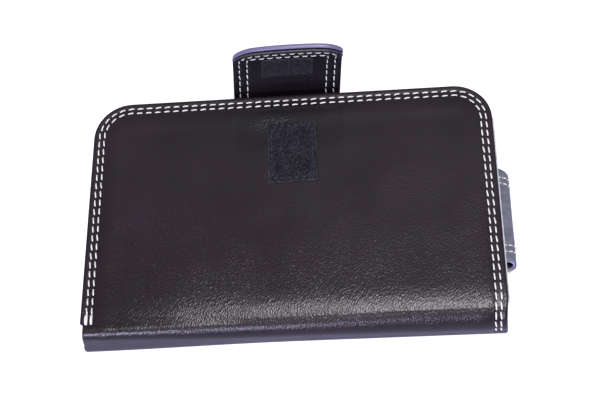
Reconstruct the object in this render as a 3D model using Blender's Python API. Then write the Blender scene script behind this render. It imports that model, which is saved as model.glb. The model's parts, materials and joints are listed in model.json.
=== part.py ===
"""Phone wallet: a folded leather case with a stitched edge, a hook-and-loop strap and a pen loop.

Blender 4.5 script, in metres, +Z up. The closed wallet lies on its back cover: the origin is the
middle of the back cover's underside, +Y points from the spine to the edge that opens, and +X to the
pen loop. Each sub-part is one object with its own material, and a moving piece is parented to an
empty that stands on its joint's axis.
"""

import math

import bpy
import numpy as np

MM = 0.001

# Covers
COVER_WIDTH = 128.0 * MM
COVER_DEPTH = 79.6 * MM  # opening edge to the spine's outer face
CLOSED_HEIGHT = 12.0 * MM
CORNER_RADIUS = 12.0 * MM
LEATHER = 0.9 * MM
BOARD = 0.8 * MM
LINING = 0.5 * MM
LAYER_GAP = 0.2 * MM
BOARD_MARGIN = 1.6 * MM
LINING_MARGIN = 0.7 * MM

# Fold between the front cover and the spine: tight at the left end, a wide round at the right end
FOLD_RUN_LEFT = 2.0 * MM
FOLD_RUN_RIGHT = 5.5 * MM
FOLD_DROP_LEFT = 2.0 * MM
FOLD_DROP_RIGHT = 5.0 * MM
HINGE_DROP = 1.0 * MM  # how far under the front face the cover's fold line runs
STRIP_FLAT = 0.3 * MM  # flat leather between the boarded cover and the widest fold
STRIP_INSET = 0.9 * MM  # the spine leather is this much narrower at its left end
FOOT_BEND = 1.5 * MM  # bend between the spine and the back cover
FOLD_GAP = 0.4 * MM

# Double row of stitches
STITCH = 3.0 * MM
SEAM_OUTER = 2.0 * MM  # from the leather's edge
SEAM_INNER = 3.6 * MM
THREAD_WIDTH = 0.6 * MM
THREAD_HEIGHT = 0.44 * MM
THREAD_PROUD = 0.14 * MM
THREAD_SUNK = 0.06 * MM  # under the back cover, so that it can rest flat
GROOVE_WIDTH = 1.1 * MM
GROOVE_DEPTH = 0.5 * MM
BACK_GROOVE_DEPTH = 0.66 * MM
SEAM_START = 1.0 * MM  # left end of the seams, from the fold's end of the boarded cover
HOLE_SHARE = 0.4  # thread at a needle hole, as a share of its size between holes
BARTACK_SHARE = 1.5  # the thickened last stitch
CUT_OVERRUN = 0.5 * MM

# Loop tape on the front cover and hook tape on the strap
TAPE_WIDTH = 15.6 * MM
LOOP_TAPE_LENGTH = 21.0 * MM
LOOP_TAPE_HEIGHT = 1.2 * MM
LOOP_TAPE_SET_BACK = 10.4 * MM  # from the opening edge
LOOP_TAPE_OFFSET = 0.8 * MM
LOOP_TAPE_TURN = math.radians(1.3)
TAPE_SEAM_MARGIN = 1.3 * MM
TAPE_THREAD = 0.4 * MM
HOOK_TAPE_WIDTH = 16.6 * MM
HOOK_TAPE_LENGTH = 9.4 * MM
HOOK_TAPE_HEIGHT = 0.9 * MM
HOOK_TAPE_SET_BACK = 5.2 * MM  # from the strap's tip

# Closing strap
STRAP_WIDTH = 34.7 * MM
STRAP_SKIN = 0.6 * MM
STRAP_STAY = 0.4 * MM  # thickness of the flexible stay between the skins
STRAP_ROOT_LENGTH = 13.0 * MM
STRAP_TIP_LENGTH = 17.2 * MM
STRAP_RISE = math.radians(73.0)  # slope of the root at rest
STRAP_CURL = math.radians(33.0)  # extra turn of the tip over its length
STRAP_LEAN = 0.115  # sideways drift for each unit of length
STRAP_OFFSET = -2.3 * MM
STRAP_STAND_OFF = 1.3 * MM  # root line beyond the back cover's edge
STRAP_ROOT_HEIGHT = 1.4 * MM
STRAP_CORNER = 6.0 * MM
STRAP_END_BOW = 1.5 * MM
STRAP_SEAM_OUTER = 1.9 * MM
STRAP_SEAM_INNER = 4.4 * MM
STRAP_GROOVE_DEPTH = 0.35 * MM
STAY_MARGIN = 1.2 * MM
ANCHOR_LENGTH = 11.0 * MM
ANCHOR_MARGIN = 1.5 * MM

# Pen loop
LOOP_LENGTH = 32.7 * MM
LOOP_FROM_EDGE = 28.3 * MM  # its far end, from the opening edge
LOOP_CENTRE_OUT = 0.1 * MM  # its axis inside the cover's edge
LOOP_HALF_WIDTH = 3.9 * MM
LOOP_HALF_HEIGHT = 3.25 * MM
LOOP_WALL = 0.75 * MM
LOOP_SQUARENESS = 3.0  # exponent of the section's outline
LOOP_TONGUE_LENGTH = 2.4 * MM
LOOP_TONGUE = 0.9 * MM
LOOP_SEAM_FAR = 3.5 * MM  # outer rows, from the loop's far and near ends
LOOP_SEAM_NEAR = 4.4 * MM
LOOP_SEAM_STEP = 2.0 * MM
LOOP_SEAM_SWEEP = math.radians(75.0)
LOOP_SEAM_CLEARANCE = 0.2 * MM

# Phone holder on the back cover
HOLDER_LEFT_MARGIN = 4.0 * MM
HOLDER_RIGHT_MARGIN = 7.0 * MM
HOLDER_FAR_MARGIN = 8.8 * MM
HOLDER_SPINE_MARGIN = 8.8 * MM
HOLDER_WALL = 1.2 * MM
HOLDER_PANEL = 0.7 * MM
HOLDER_CORNER = 4.0 * MM
WINDOW_MARGIN = 11.0 * MM
WINDOW_CORNER = 5.0 * MM

# Card pockets inside the front cover
POCKET_WIDTH = 94.0 * MM
POCKET_PANEL = 0.5 * MM
POCKET_FROM_FOLD = 5.0 * MM
POCKET_DEEP = 52.0 * MM
POCKET_SHALLOW = 40.0 * MM
POCKET_CORNER = 3.0 * MM
POCKET_CLEARANCE = 0.3 * MM

# How finely curves are cut into flats
CORNER_STEPS = 8
FOLD_STEPS = 4
FOOT_STEPS = 3
CURL_STEPS = 5
RING_STEPS = 28

# Places that follow from the sizes above
HALF_WIDTH = COVER_WIDTH / 2
FAR_Y = COVER_DEPTH / 2
SPINE_Y = -COVER_DEPTH / 2
STIFF_END_Y = SPINE_Y + max(FOLD_RUN_LEFT, FOLD_RUN_RIGHT) + STRIP_FLAT
COVER_STACK = LEATHER + LAYER_GAP + BOARD + LAYER_GAP + LINING
LINING_TOP = COVER_STACK
FRONT_LINING_UNDERSIDE = CLOSED_HEIGHT - COVER_STACK
STRAP_HALF_THICKNESS = STRAP_SKIN + LAYER_GAP + STRAP_STAY / 2
STRAP_ROOT_Y = FAR_Y + STRAP_STAND_OFF
STRAP_LENGTH = STRAP_ROOT_LENGTH + STRAP_TIP_LENGTH

# Colours as linear red, green and blue
BLACK_LEATHER = (0.022, 0.018, 0.021)
LINING_LEATHER = (0.030, 0.026, 0.032)
GREY_BOARD = (0.24, 0.22, 0.19)
WHITE_THREAD = (0.80, 0.78, 0.74)
DARK_THREAD = (0.030, 0.030, 0.045)
NAVY_LOOPS = (0.016, 0.017, 0.036)
DARK_HOOKS = (0.020, 0.018, 0.026)
STAY_PLASTIC = (0.10, 0.10, 0.11)


def clear_scene():
    for obj in list(bpy.data.objects):
        bpy.data.objects.remove(obj, do_unlink=True)


def material(name, colour, roughness):
    """A plain Principled material."""
    made = bpy.data.materials.new(name)
    made.use_nodes = True
    shader = made.node_tree.nodes["Principled BSDF"]
    shader.inputs["Base Color"].default_value = (*colour, 1.0)
    shader.inputs["Roughness"].default_value = roughness
    shader.inputs["Metallic"].default_value = 0.0
    return made


def mesh_object(name, points, faces, colour=None, roughness=0.5):
    """A new object from points and faces, without a material when it is a cutter."""
    mesh = bpy.data.meshes.new(name)
    mesh.from_pydata([tuple(p) for p in points], [], [tuple(f) for f in faces])
    mesh.update()
    obj = bpy.data.objects.new(name, mesh)
    bpy.context.scene.collection.objects.link(obj)
    if colour is not None:
        mesh.materials.append(material(name, colour, roughness))
    return obj


def shell(name, top, bottom, colour=None, roughness=0.5):
    """A closed sheet between two grids of points, each rows by columns, with walls on its four sides."""
    rows, columns = top.shape[:2]
    points = np.concatenate([top.reshape(-1, 3), bottom.reshape(-1, 3)])
    index = np.arange(rows * columns).reshape(rows, columns)
    under = index + rows * columns
    faces = []
    for i in range(rows - 1):
        for j in range(columns - 1):
            faces.append((index[i, j], index[i + 1, j], index[i + 1, j + 1], index[i, j + 1]))
            faces.append((under[i, j], under[i, j + 1], under[i + 1, j + 1], under[i + 1, j]))
    border = list(index[:, 0]) + list(index[-1, 1:]) + list(index[-2::-1, -1]) + list(index[0, -2:0:-1])
    for k, here in enumerate(border):
        after = border[(k + 1) % len(border)]
        faces.append((here, here + rows * columns, after + rows * columns, after))
    return mesh_object(name, points, faces, colour, roughness)


def tube(name, centres, across, up, half_widths, half_heights, colour=None, roughness=0.5):
    """A closed four-sided tube whose section changes along its path."""
    rings = []
    for sideways, upright in ((1, 1), (-1, 1), (-1, -1), (1, -1)):
        rings.append(
            centres + across * (sideways * half_widths)[:, None] + up * (upright * half_heights)[:, None]
        )
    points = np.stack(rings, axis=1).reshape(-1, 3)
    count = len(centres)
    faces = [(3, 2, 1, 0), tuple(4 * (count - 1) + k for k in range(4))]
    for i in range(count - 1):
        for k in range(4):
            after = (k + 1) % 4
            faces.append((4 * i + k, 4 * i + after, 4 * (i + 1) + after, 4 * (i + 1) + k))
    return mesh_object(name, points, faces, colour, roughness)


def prism(name, outline, low, high, axis=2, colour=None, roughness=0.5):
    """An outline pushed from low to high along X (0), Y (1) or Z (2). It runs anticlockwise seen from +axis."""
    count = len(outline)
    points = []
    for level in (low, high):
        for first, second in outline:
            point = [first, second]
            point.insert(axis, level)
            points.append(point)
    faces = [tuple(range(count - 1, -1, -1)), tuple(range(count, 2 * count))]
    for k in range(count):
        after = (k + 1) % count
        faces.append((k, after, count + after, count + k))
    if axis == 1:
        faces = [tuple(reversed(face)) for face in faces]
    return mesh_object(name, points, faces, colour, roughness)


def rounded_outline(low, high, radius, steps=CORNER_STEPS):
    """A rectangle's outline with round corners, anticlockwise."""
    corners = (
        (high[0] - radius, high[1] - radius, 0.0),
        (low[0] + radius, high[1] - radius, math.pi / 2),
        (low[0] + radius, low[1] + radius, math.pi),
        (high[0] - radius, low[1] + radius, 3 * math.pi / 2),
    )
    outline = []
    for x, y, start in corners:
        for k in range(steps + 1):
            angle = start + k * math.pi / 2 / steps
            outline.append((x + radius * math.cos(angle), y + radius * math.sin(angle)))
    return outline


def squircle(centre, half_width, half_height, start=0.0, sweep=2 * math.pi, steps=RING_STEPS):
    """Points of a superellipse, the outline between an ellipse and a rectangle."""
    power = 2 / LOOP_SQUARENESS
    points = []
    for k in range(steps):
        angle = start + sweep * k / steps
        c, s = math.cos(angle), math.sin(angle)
        points.append(
            (
                centre[0] + half_width * math.copysign(abs(c) ** power, c),
                centre[1] + half_height * math.copysign(abs(s) ** power, s),
            )
        )
    return points


def boolean(obj, cutter, operation="DIFFERENCE"):
    """Cuts or joins by a Boolean. The second object follows the first and is hidden from the render."""
    cutter.hide_render = True
    cutter.display_type = "WIRE"
    cutter.parent = obj
    modifier = obj.modifiers.new(operation.title(), "BOOLEAN")
    modifier.operation = operation
    modifier.solver = "EXACT"
    modifier.object = cutter


def resample(points, normals, spacing):
    """Points and normals at equal steps along a path, with the step nearest to the spacing wanted."""
    lengths = np.concatenate([[0.0], np.cumsum(np.linalg.norm(np.diff(points, axis=0), axis=1))])
    count = max(1, round(lengths[-1] / spacing))
    wanted = np.linspace(0.0, lengths[-1], 2 * count + 1)
    at = np.stack([np.interp(wanted, lengths, points[:, k]) for k in range(3)], axis=1)
    up = np.stack([np.interp(wanted, lengths, normals[:, k]) for k in range(3)], axis=1)
    return at, up / np.linalg.norm(up, axis=1)[:, None]


def across_path(points, normals):
    """Unit vectors square to the path and to its normals."""
    along = np.gradient(points, axis=0)
    across = np.cross(normals, along)
    return across / np.linalg.norm(across, axis=1)[:, None]


def seam(name, points, normals, proud=THREAD_PROUD, colour=WHITE_THREAD, tack=False):
    """A row of stitches as one thread: full between the needle holes, and thin and sunk at each hole."""
    at, up = resample(points, normals, STITCH)
    full = np.arange(len(at)) % 2 == 1
    size = np.where(full, 1.0, HOLE_SHARE)
    wide = size.copy()
    if tack:
        wide[1] = BARTACK_SHARE
    half_heights = size * THREAD_HEIGHT / 2
    sunk = np.where(full, 0.0, THREAD_HEIGHT / 2)
    centres = at + up * (proud - THREAD_HEIGHT / 2 - sunk + (1 - size) * THREAD_HEIGHT / 2)[:, None]
    half_widths = wide * THREAD_WIDTH / 2
    return tube(name, centres, across_path(at, up), up, half_widths, half_heights, colour, 0.6)


def groove(owner, points, normals, depth=GROOVE_DEPTH):
    """Cuts the channel that a seam lies in."""
    half_height = (depth + CUT_OVERRUN) / 2
    centres = points + normals * (CUT_OVERRUN - half_height)
    count = len(points)
    cutter = tube(
        owner.name + "_groove_cutter",
        centres,
        across_path(points, normals),
        normals,
        np.full(count, GROOVE_WIDTH / 2),
        np.full(count, half_height),
    )
    boolean(owner, cutter)
    return cutter


# Surfaces of the covers and the spine


def fold_sizes(x):
    """Run and drop of the front fold at a place along the spine."""
    share = (x + HALF_WIDTH) / COVER_WIDTH
    run = FOLD_RUN_LEFT + (FOLD_RUN_RIGHT - FOLD_RUN_LEFT) * share
    drop = FOLD_DROP_LEFT + (FOLD_DROP_RIGHT - FOLD_DROP_LEFT) * share
    return run, drop


def hinge_turn(x):
    """Angle round the front fold at which the cover ends and the spine begins."""
    drop = fold_sizes(x)[1]
    return math.acos(1 - HINGE_DROP / drop)


def fold_point(x, turn, depth=0.0):
    """A point of the front fold, depth under the leather's outer face: an ellipse seen along the spine."""
    run, drop = fold_sizes(x)
    y = SPINE_Y + run * (1 - math.sin(turn))
    z = CLOSED_HEIGHT - drop * (1 - math.cos(turn))
    normal = np.array([0.0, -drop * math.sin(turn), run * math.cos(turn)])
    normal /= np.linalg.norm(normal)
    return np.array([x, y, z]) - normal * depth, normal


def turn_gap(x):
    """Half the gap at the fold line, as an angle."""
    run, drop = fold_sizes(x)
    turn = hinge_turn(x)
    return FOLD_GAP / 2 / math.hypot(run * math.cos(turn), drop * math.sin(turn))


def foot_point(x, turn, depth=0.0):
    """A point of the bend between the back cover and the spine, depth inside the leather's outer face."""
    normal = np.array([0.0, -math.sin(turn), -math.cos(turn)])
    y = SPINE_Y + FOOT_BEND * (1 - math.sin(turn))
    z = FOOT_BEND * (1 - math.cos(turn))
    return np.array([x, y, z]) - normal * depth, normal


def corner_rows(half_width, far_y, radius):
    """Rows (y, half width) that round a cover's two far corners."""
    rows = []
    for k in range(CORNER_STEPS + 1):
        angle = k * math.pi / 2 / CORNER_STEPS
        rows.append((far_y - radius * (1 - math.cos(angle)), half_width - radius * (1 - math.sin(angle))))
    return rows


def cover_slab(name, margin, end_y, low, high, colour, roughness):
    """A flat layer of a cover, margin inside the leather's edge, from the far edge to end_y."""
    rows = corner_rows(HALF_WIDTH - margin, FAR_Y - margin, CORNER_RADIUS - margin)
    rows.append((end_y, HALF_WIDTH - margin))
    grid = np.array([[(-half, y, high), (half, y, high)] for y, half in rows])
    under = grid.copy()
    under[:, :, 2] = low
    return shell(name, grid, under, colour, roughness)


def edge_path(margin, start_y, end_y, level):
    """A seam's path along the left side, the far edge and the right side of a cover, in a flat plane."""
    radius = CORNER_RADIUS - margin
    half = HALF_WIDTH - margin
    centre_y = FAR_Y - CORNER_RADIUS
    points = [(-half, start_y, level)]
    for side in (-1, 1):
        for k in range(CORNER_STEPS + 1):
            share = k / CORNER_STEPS if side < 0 else 1 - k / CORNER_STEPS
            angle = share * math.pi / 2
            x = side * (half - radius * (1 - math.cos(angle)))
            points.append((x, centre_y + radius * math.sin(angle), level))
    points.append((half, end_y, level))
    return np.array(points)


# Back cover


def foot_rows(x_left, x_right, depth):
    """Grid rows of the back leather's turn-up towards the spine."""
    rows = []
    last = math.pi / 2 - FOLD_GAP / 2 / FOOT_BEND
    for k in range(FOOT_STEPS + 1):
        turn = last * k / FOOT_STEPS
        rows.append([foot_point(x_left, turn, depth)[0], foot_point(x_right, turn, depth)[0]])
    return rows


def make_back_leather():
    grids = []
    for depth in (0.0, LEATHER):
        rows = [
            [(-half, y, depth), (half, y, depth)]
            for y, half in corner_rows(HALF_WIDTH, FAR_Y, CORNER_RADIUS)
        ]
        grids.append(np.array(rows + foot_rows(-HALF_WIDTH, HALF_WIDTH, depth)))
    outer, inner = grids
    leather = shell("back_outer_leather", inner, outer, BLACK_LEATHER, 0.38)
    for margin in (SEAM_OUTER, SEAM_INNER):
        groove(leather, *back_seam_path(margin, CUT_OVERRUN), depth=BACK_GROOVE_DEPTH)


def back_seam_path(margin, overrun=0.0):
    """The back seam's path, under the cover and short of the bend at its right end."""
    path = edge_path(margin, STIFF_END_Y + SEAM_START - overrun, SPINE_Y + FOOT_BEND - overrun, 0.0)
    return path, np.tile((0.0, 0.0, -1.0), (len(path), 1))


def make_back_seams():
    for name, margin in (("back_seam_outer", SEAM_OUTER), ("back_seam_inner", SEAM_INNER)):
        seam(name, *back_seam_path(margin), proud=-THREAD_SUNK)


def make_back_board():
    board = cover_slab(
        "back_board", BOARD_MARGIN, STIFF_END_Y, LEATHER + LAYER_GAP, LEATHER + LAYER_GAP + BOARD, GREY_BOARD, 0.9
    )
    x = STRAP_OFFSET
    half = STRAP_WIDTH / 2 - ANCHOR_MARGIN + LAYER_GAP
    outline = rounded_outline(
        (x - half, FAR_Y - LINING_MARGIN - ANCHOR_LENGTH - LAYER_GAP), (x + half, FAR_Y + CUT_OVERRUN), LAYER_GAP
    )
    boolean(board, prism("board_notch_cutter", outline, 0.0, COVER_STACK))


def make_back_lining():
    low = LEATHER + LAYER_GAP + BOARD + LAYER_GAP
    cover_slab("back_lining", LINING_MARGIN, STIFF_END_Y - STRIP_FLAT, low, low + LINING, LINING_LEATHER, 0.5)


def make_strap_anchor():
    """The strap's tongue, glued in the board's notch and held by both seams."""
    half = STRAP_WIDTH / 2 - ANCHOR_MARGIN
    outline = rounded_outline(
        (STRAP_OFFSET - half, FAR_Y - LINING_MARGIN - ANCHOR_LENGTH),
        (STRAP_OFFSET + half, FAR_Y + LAYER_GAP),
        LAYER_GAP,
    )
    low = LEATHER + LAYER_GAP
    prism("strap_anchor", outline, low, low + BOARD, colour=BLACK_LEATHER, roughness=0.5)


# Spine


def spine_grid(depth, top_margin=0.0, foot_margin=0.0):
    """Rows over the spine from the front fold line to the foot bend, depth inside the outer face."""
    left = -HALF_WIDTH + STRIP_INSET
    right = HALF_WIDTH
    rows = []
    for k in range(FOLD_STEPS + 1):
        row = []
        for x in (left, right):
            run, drop = fold_sizes(x)
            start = hinge_turn(x) + turn_gap(x) + top_margin / max(run, drop)
            row.append(fold_point(x, start + (math.pi / 2 - start) * k / FOLD_STEPS, depth)[0])
        rows.append(row)
    foot_z = FOOT_BEND + FOLD_GAP / 2 + foot_margin
    rows.append([(-HALF_WIDTH, SPINE_Y + depth, foot_z), (HALF_WIDTH, SPINE_Y + depth, foot_z)])
    return np.array(rows)


def spine_seam_path(margin, overrun=0.0):
    """The right-hand rows where they cross the spine."""
    x = HALF_WIDTH - margin
    run, drop = fold_sizes(x)
    start = hinge_turn(x) + turn_gap(x) - overrun / max(run, drop)
    turns = [start + (math.pi / 2 - start) * k / FOLD_STEPS for k in range(FOLD_STEPS + 1)]
    arc = [fold_point(x, turn) for turn in turns]
    foot_z = FOOT_BEND + FOLD_GAP / 2 - overrun
    points = np.array([point for point, normal in arc] + [(x, SPINE_Y, foot_z)])
    return points, np.array([normal for point, normal in arc] + [(0.0, -1.0, 0.0)])


def make_spine_leather():
    leather = shell("spine_leather", spine_grid(0.0), spine_grid(LEATHER), BLACK_LEATHER, 0.36)
    for margin in (SEAM_OUTER, SEAM_INNER):
        groove(leather, *spine_seam_path(margin, CUT_OVERRUN))
    return leather


def make_spine_lining():
    depth = LEATHER + LAYER_GAP
    margins = (LINING_MARGIN, LINING_MARGIN)
    top = spine_grid(depth, *margins)
    under = spine_grid(depth + LINING, *margins)
    for grid in (top, under):
        grid[:, 0, 0] += LINING_MARGIN
        grid[:, 1, 0] -= LINING_MARGIN
    shell("spine_lining", top, under, LINING_LEATHER, 0.5)


def make_spine_seams():
    for name, margin in (("spine_seam_outer", SEAM_OUTER), ("spine_seam_inner", SEAM_INNER)):
        seam(name, *spine_seam_path(margin))


# Front cover


def front_lip_rows(x_left, x_right, depth):
    """Grid rows of the front leather where it starts to turn down to the spine."""
    rows = []
    for k in range(FOLD_STEPS + 1):
        row = []
        for x in (x_left, x_right):
            turn = (hinge_turn(x) - turn_gap(x)) * k / FOLD_STEPS
            row.append(fold_point(x, turn, depth)[0])
        rows.append(row)
    return rows


def make_front_leather():
    left = -HALF_WIDTH + STRIP_INSET
    grids = []
    for depth in (0.0, LEATHER):
        level = CLOSED_HEIGHT - depth
        rows = [
            [(-half, y, level), (half, y, level)]
            for y, half in corner_rows(HALF_WIDTH, FAR_Y, CORNER_RADIUS)
        ]
        rows.append([(-HALF_WIDTH, STIFF_END_Y + STRIP_FLAT, level), (HALF_WIDTH, STIFF_END_Y + STRIP_FLAT, level)])
        rows.append([(left, STIFF_END_Y, level), (HALF_WIDTH, STIFF_END_Y, level)])
        grids.append(np.array(rows + front_lip_rows(left, HALF_WIDTH, depth)))
    leather = shell("front_outer_leather", *grids, BLACK_LEATHER, 0.38)
    for margin in (SEAM_OUTER, SEAM_INNER):
        groove(leather, *front_seam_path(margin, CUT_OVERRUN))
    return leather


def front_seam_path(margin, overrun=0.0):
    """The front seam's path: round the cover's free edges, and down the fold at its right end."""
    x = HALF_WIDTH - margin
    run, drop = fold_sizes(x)
    flat = edge_path(margin, STIFF_END_Y + SEAM_START - overrun, SPINE_Y + run, CLOSED_HEIGHT)
    normals = np.tile((0.0, 0.0, 1.0), (len(flat), 1))
    last = hinge_turn(x) - turn_gap(x) + overrun / max(run, drop)
    lip = [fold_point(x, last * k / FOLD_STEPS) for k in range(1, FOLD_STEPS + 1)]
    points = np.concatenate([flat, [point for point, normal in lip]])
    return points, np.concatenate([normals, [normal for point, normal in lip]])


def make_front_seams():
    for name, margin in (("front_seam_outer", SEAM_OUTER), ("front_seam_inner", SEAM_INNER)):
        seam(name, *front_seam_path(margin), tack=True)


def make_front_board():
    high = CLOSED_HEIGHT - LEATHER - LAYER_GAP
    cover_slab("front_board", BOARD_MARGIN, STIFF_END_Y, high - BOARD, high, GREY_BOARD, 0.9)


def make_front_lining():
    low = FRONT_LINING_UNDERSIDE
    cover_slab("front_lining", LINING_MARGIN, STIFF_END_Y - STRIP_FLAT, low, low + LINING, LINING_LEATHER, 0.5)


def tape_outline(half_width, half_length):
    """The loop tape's outline, turned a little about its centre."""
    centre = (LOOP_TAPE_OFFSET, FAR_Y - LOOP_TAPE_SET_BACK - LOOP_TAPE_LENGTH / 2)
    c, s = math.cos(LOOP_TAPE_TURN), math.sin(LOOP_TAPE_TURN)
    corners = ((-1, -1), (1, -1), (1, 1), (-1, 1))
    return [
        (
            centre[0] + a * half_width * c - b * half_length * s,
            centre[1] + a * half_width * s + b * half_length * c,
        )
        for a, b in corners
    ]


def tape_ring(name, inset, width, low, high, colour=None):
    """A rectangular ring that runs round the loop tape, inset from its edge to the ring's middle."""
    half_width = TAPE_WIDTH / 2 - inset
    half_length = LOOP_TAPE_LENGTH / 2 - inset
    ring = prism(
        name, tape_outline(half_width + width / 2, half_length + width / 2), low, high, colour=colour, roughness=0.7
    )
    hole = prism(
        name + "_hole_cutter",
        tape_outline(half_width - width / 2, half_length - width / 2),
        low - CUT_OVERRUN,
        high + CUT_OVERRUN,
    )
    boolean(ring, hole)
    return ring


def make_loop_tape():
    low = CLOSED_HEIGHT + LAYER_GAP
    high = low + LOOP_TAPE_HEIGHT
    outline = tape_outline(TAPE_WIDTH / 2, LOOP_TAPE_LENGTH / 2)
    tape = prism("loop_tape", outline, low, high, colour=NAVY_LOOPS, roughness=0.95)
    groove_low = high - TAPE_THREAD - LAYER_GAP
    boolean(tape, tape_ring("tape_groove_cutter", TAPE_SEAM_MARGIN, 2 * TAPE_THREAD, groove_low, high + CUT_OVERRUN))
    tape_ring("loop_tape_seam", TAPE_SEAM_MARGIN, TAPE_THREAD, high - TAPE_THREAD, high, DARK_THREAD)


def make_card_pockets():
    """Two card panels under the front lining, the shallow one over the deep one."""
    spine_side = STIFF_END_Y + POCKET_FROM_FOLD
    high = FRONT_LINING_UNDERSIDE - LAYER_GAP
    for name, depth in (("card_pocket_deep", POCKET_DEEP), ("card_pocket_shallow", POCKET_SHALLOW)):
        outline = rounded_outline(
            (-POCKET_WIDTH / 2, spine_side), (POCKET_WIDTH / 2, spine_side + depth), POCKET_CORNER
        )
        prism(name, outline, high - POCKET_PANEL, high, colour=LINING_LEATHER, roughness=0.45)
        high -= POCKET_PANEL + LAYER_GAP


# Phone holder


def holder_top():
    """Upper face of the phone holder, just under the card pockets."""
    pockets = 2 * (LAYER_GAP + POCKET_PANEL)
    return FRONT_LINING_UNDERSIDE - pockets - POCKET_CLEARANCE


def make_phone_holder():
    """A low leather frame on the back lining: walls on three sides, open at the left, with a window."""
    low = (-HALF_WIDTH + HOLDER_LEFT_MARGIN, SPINE_Y + HOLDER_SPINE_MARGIN)
    high = (HALF_WIDTH - HOLDER_RIGHT_MARGIN, FAR_Y - HOLDER_FAR_MARGIN)
    base = LINING_TOP + LAYER_GAP
    top = holder_top()
    holder = prism(
        "phone_holder", rounded_outline(low, high, HOLDER_CORNER), base, top, colour=LINING_LEATHER, roughness=0.42
    )
    slot = rounded_outline(
        (low[0] - HOLDER_CORNER, low[1] + HOLDER_WALL),
        (high[0] - HOLDER_WALL, high[1] - HOLDER_WALL),
        HOLDER_CORNER - HOLDER_WALL,
    )
    boolean(holder, prism("holder_slot_cutter", slot, base - CUT_OVERRUN, top - HOLDER_PANEL))
    window = rounded_outline(
        (low[0] + WINDOW_MARGIN, low[1] + WINDOW_MARGIN),
        (high[0] - WINDOW_MARGIN, high[1] - WINDOW_MARGIN),
        WINDOW_CORNER,
    )
    boolean(holder, prism("holder_window_cutter", window, base - CUT_OVERRUN, top + CUT_OVERRUN))


# Pen loop


def pen_axis():
    return HALF_WIDTH - LOOP_CENTRE_OUT, CLOSED_HEIGHT / 2


def make_pen_loop():
    """A leather tube with a tongue that is sewn down on the back lining."""
    far = FAR_Y - LOOP_FROM_EDGE
    near = far - LOOP_LENGTH
    x, z = pen_axis()
    loop = prism(
        "pen_loop", squircle((x, z), LOOP_HALF_WIDTH, LOOP_HALF_HEIGHT), near, far, 1, BLACK_LEATHER, 0.35
    )
    low = LINING_TOP + LAYER_GAP
    outline = rounded_outline(
        (x - LOOP_HALF_WIDTH - LOOP_TONGUE_LENGTH, low),
        (x - LOOP_HALF_WIDTH / 2, low + LOOP_TONGUE),
        LOOP_TONGUE / 4,
        FOOT_STEPS,
    )
    boolean(loop, prism("loop_tongue_joiner", outline, near, far, 1), "UNION")
    bore = squircle((x, z), LOOP_HALF_WIDTH - LOOP_WALL, LOOP_HALF_HEIGHT - LOOP_WALL)
    boolean(loop, prism("loop_bore_cutter", bore, near - CUT_OVERRUN, far + CUT_OVERRUN, 1))


def make_pen_loop_seams():
    """Two rows of stitches round the outside of the pen loop at each of its ends."""
    far = FAR_Y - LOOP_FROM_EDGE
    near = far - LOOP_LENGTH
    section = squircle(
        pen_axis(),
        LOOP_HALF_WIDTH + LOOP_SEAM_CLEARANCE,
        LOOP_HALF_HEIGHT + LOOP_SEAM_CLEARANCE,
        -LOOP_SEAM_SWEEP,
        2 * LOOP_SEAM_SWEEP,
    )
    rows = (
        ("pen_loop_seam_far_outer", far - LOOP_SEAM_FAR),
        ("pen_loop_seam_far_inner", far - LOOP_SEAM_FAR - LOOP_SEAM_STEP),
        ("pen_loop_seam_near_inner", near + LOOP_SEAM_NEAR + LOOP_SEAM_STEP),
        ("pen_loop_seam_near_outer", near + LOOP_SEAM_NEAR),
    )
    for name, y in rows:
        points = np.array([(x, y, z) for x, z in section])
        along = np.gradient(points, axis=0)
        normals = np.cross(along, (0.0, 1.0, 0.0))
        normals /= np.linalg.norm(normals, axis=1)[:, None]
        seam(name, points, -normals, proud=THREAD_HEIGHT)


# Closing strap


def strap_point(across, along, height=0.0):
    """A point of the strap: a straight root, then a tip that curls forward on a circle."""
    y, z = STRAP_ROOT_Y, STRAP_ROOT_HEIGHT
    straight = min(along, STRAP_ROOT_LENGTH)
    y += straight * math.cos(STRAP_RISE)
    z += straight * math.sin(STRAP_RISE)
    slope = STRAP_RISE
    if along > STRAP_ROOT_LENGTH:
        radius = STRAP_TIP_LENGTH / STRAP_CURL
        slope += (along - STRAP_ROOT_LENGTH) / radius
        y += radius * (math.sin(slope) - math.sin(STRAP_RISE))
        z += radius * (math.cos(STRAP_RISE) - math.cos(slope))
    normal = np.array([0.0, -math.sin(slope), math.cos(slope)])
    x = STRAP_OFFSET + STRAP_LEAN * along + across
    return np.array([x, y, z]) + normal * height, normal


def strap_rows(margin, start, end):
    """Rows (distance along, half width) of the strap's outline between two lengths, margin inside its edge."""
    half = STRAP_WIDTH / 2 - margin
    radius = STRAP_CORNER - margin
    bow = STRAP_END_BOW
    tip = STRAP_LENGTH - margin
    shoulder = tip - bow - radius
    rows = []
    if end < STRAP_LENGTH:
        return [(start, half), (end, half)]
    for k in range(CURL_STEPS + 1):
        rows.append((start + (shoulder - start) * k / CURL_STEPS, half))
    for k in range(1, CORNER_STEPS + 1):
        angle = k * math.pi / 2 / CORNER_STEPS
        rows.append((shoulder + radius * math.sin(angle), half - radius * (1 - math.cos(angle))))
    flat = half - radius
    for share in (0.75, 0.5, 0.25):
        rows.append((tip - bow * share**2, flat * share))
    return rows


def strap_sheet(name, low, high, margin, start, end, colour, roughness):
    """A layer of the strap between two heights off its middle surface."""
    rows = strap_rows(margin, start, end)
    grids = []
    for height in (high, low):
        grids.append(
            np.array([[strap_point(side * half, along, height)[0] for side in (-1, 1)] for along, half in rows])
        )
    return shell(name, grids[1], grids[0], colour, roughness)


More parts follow.
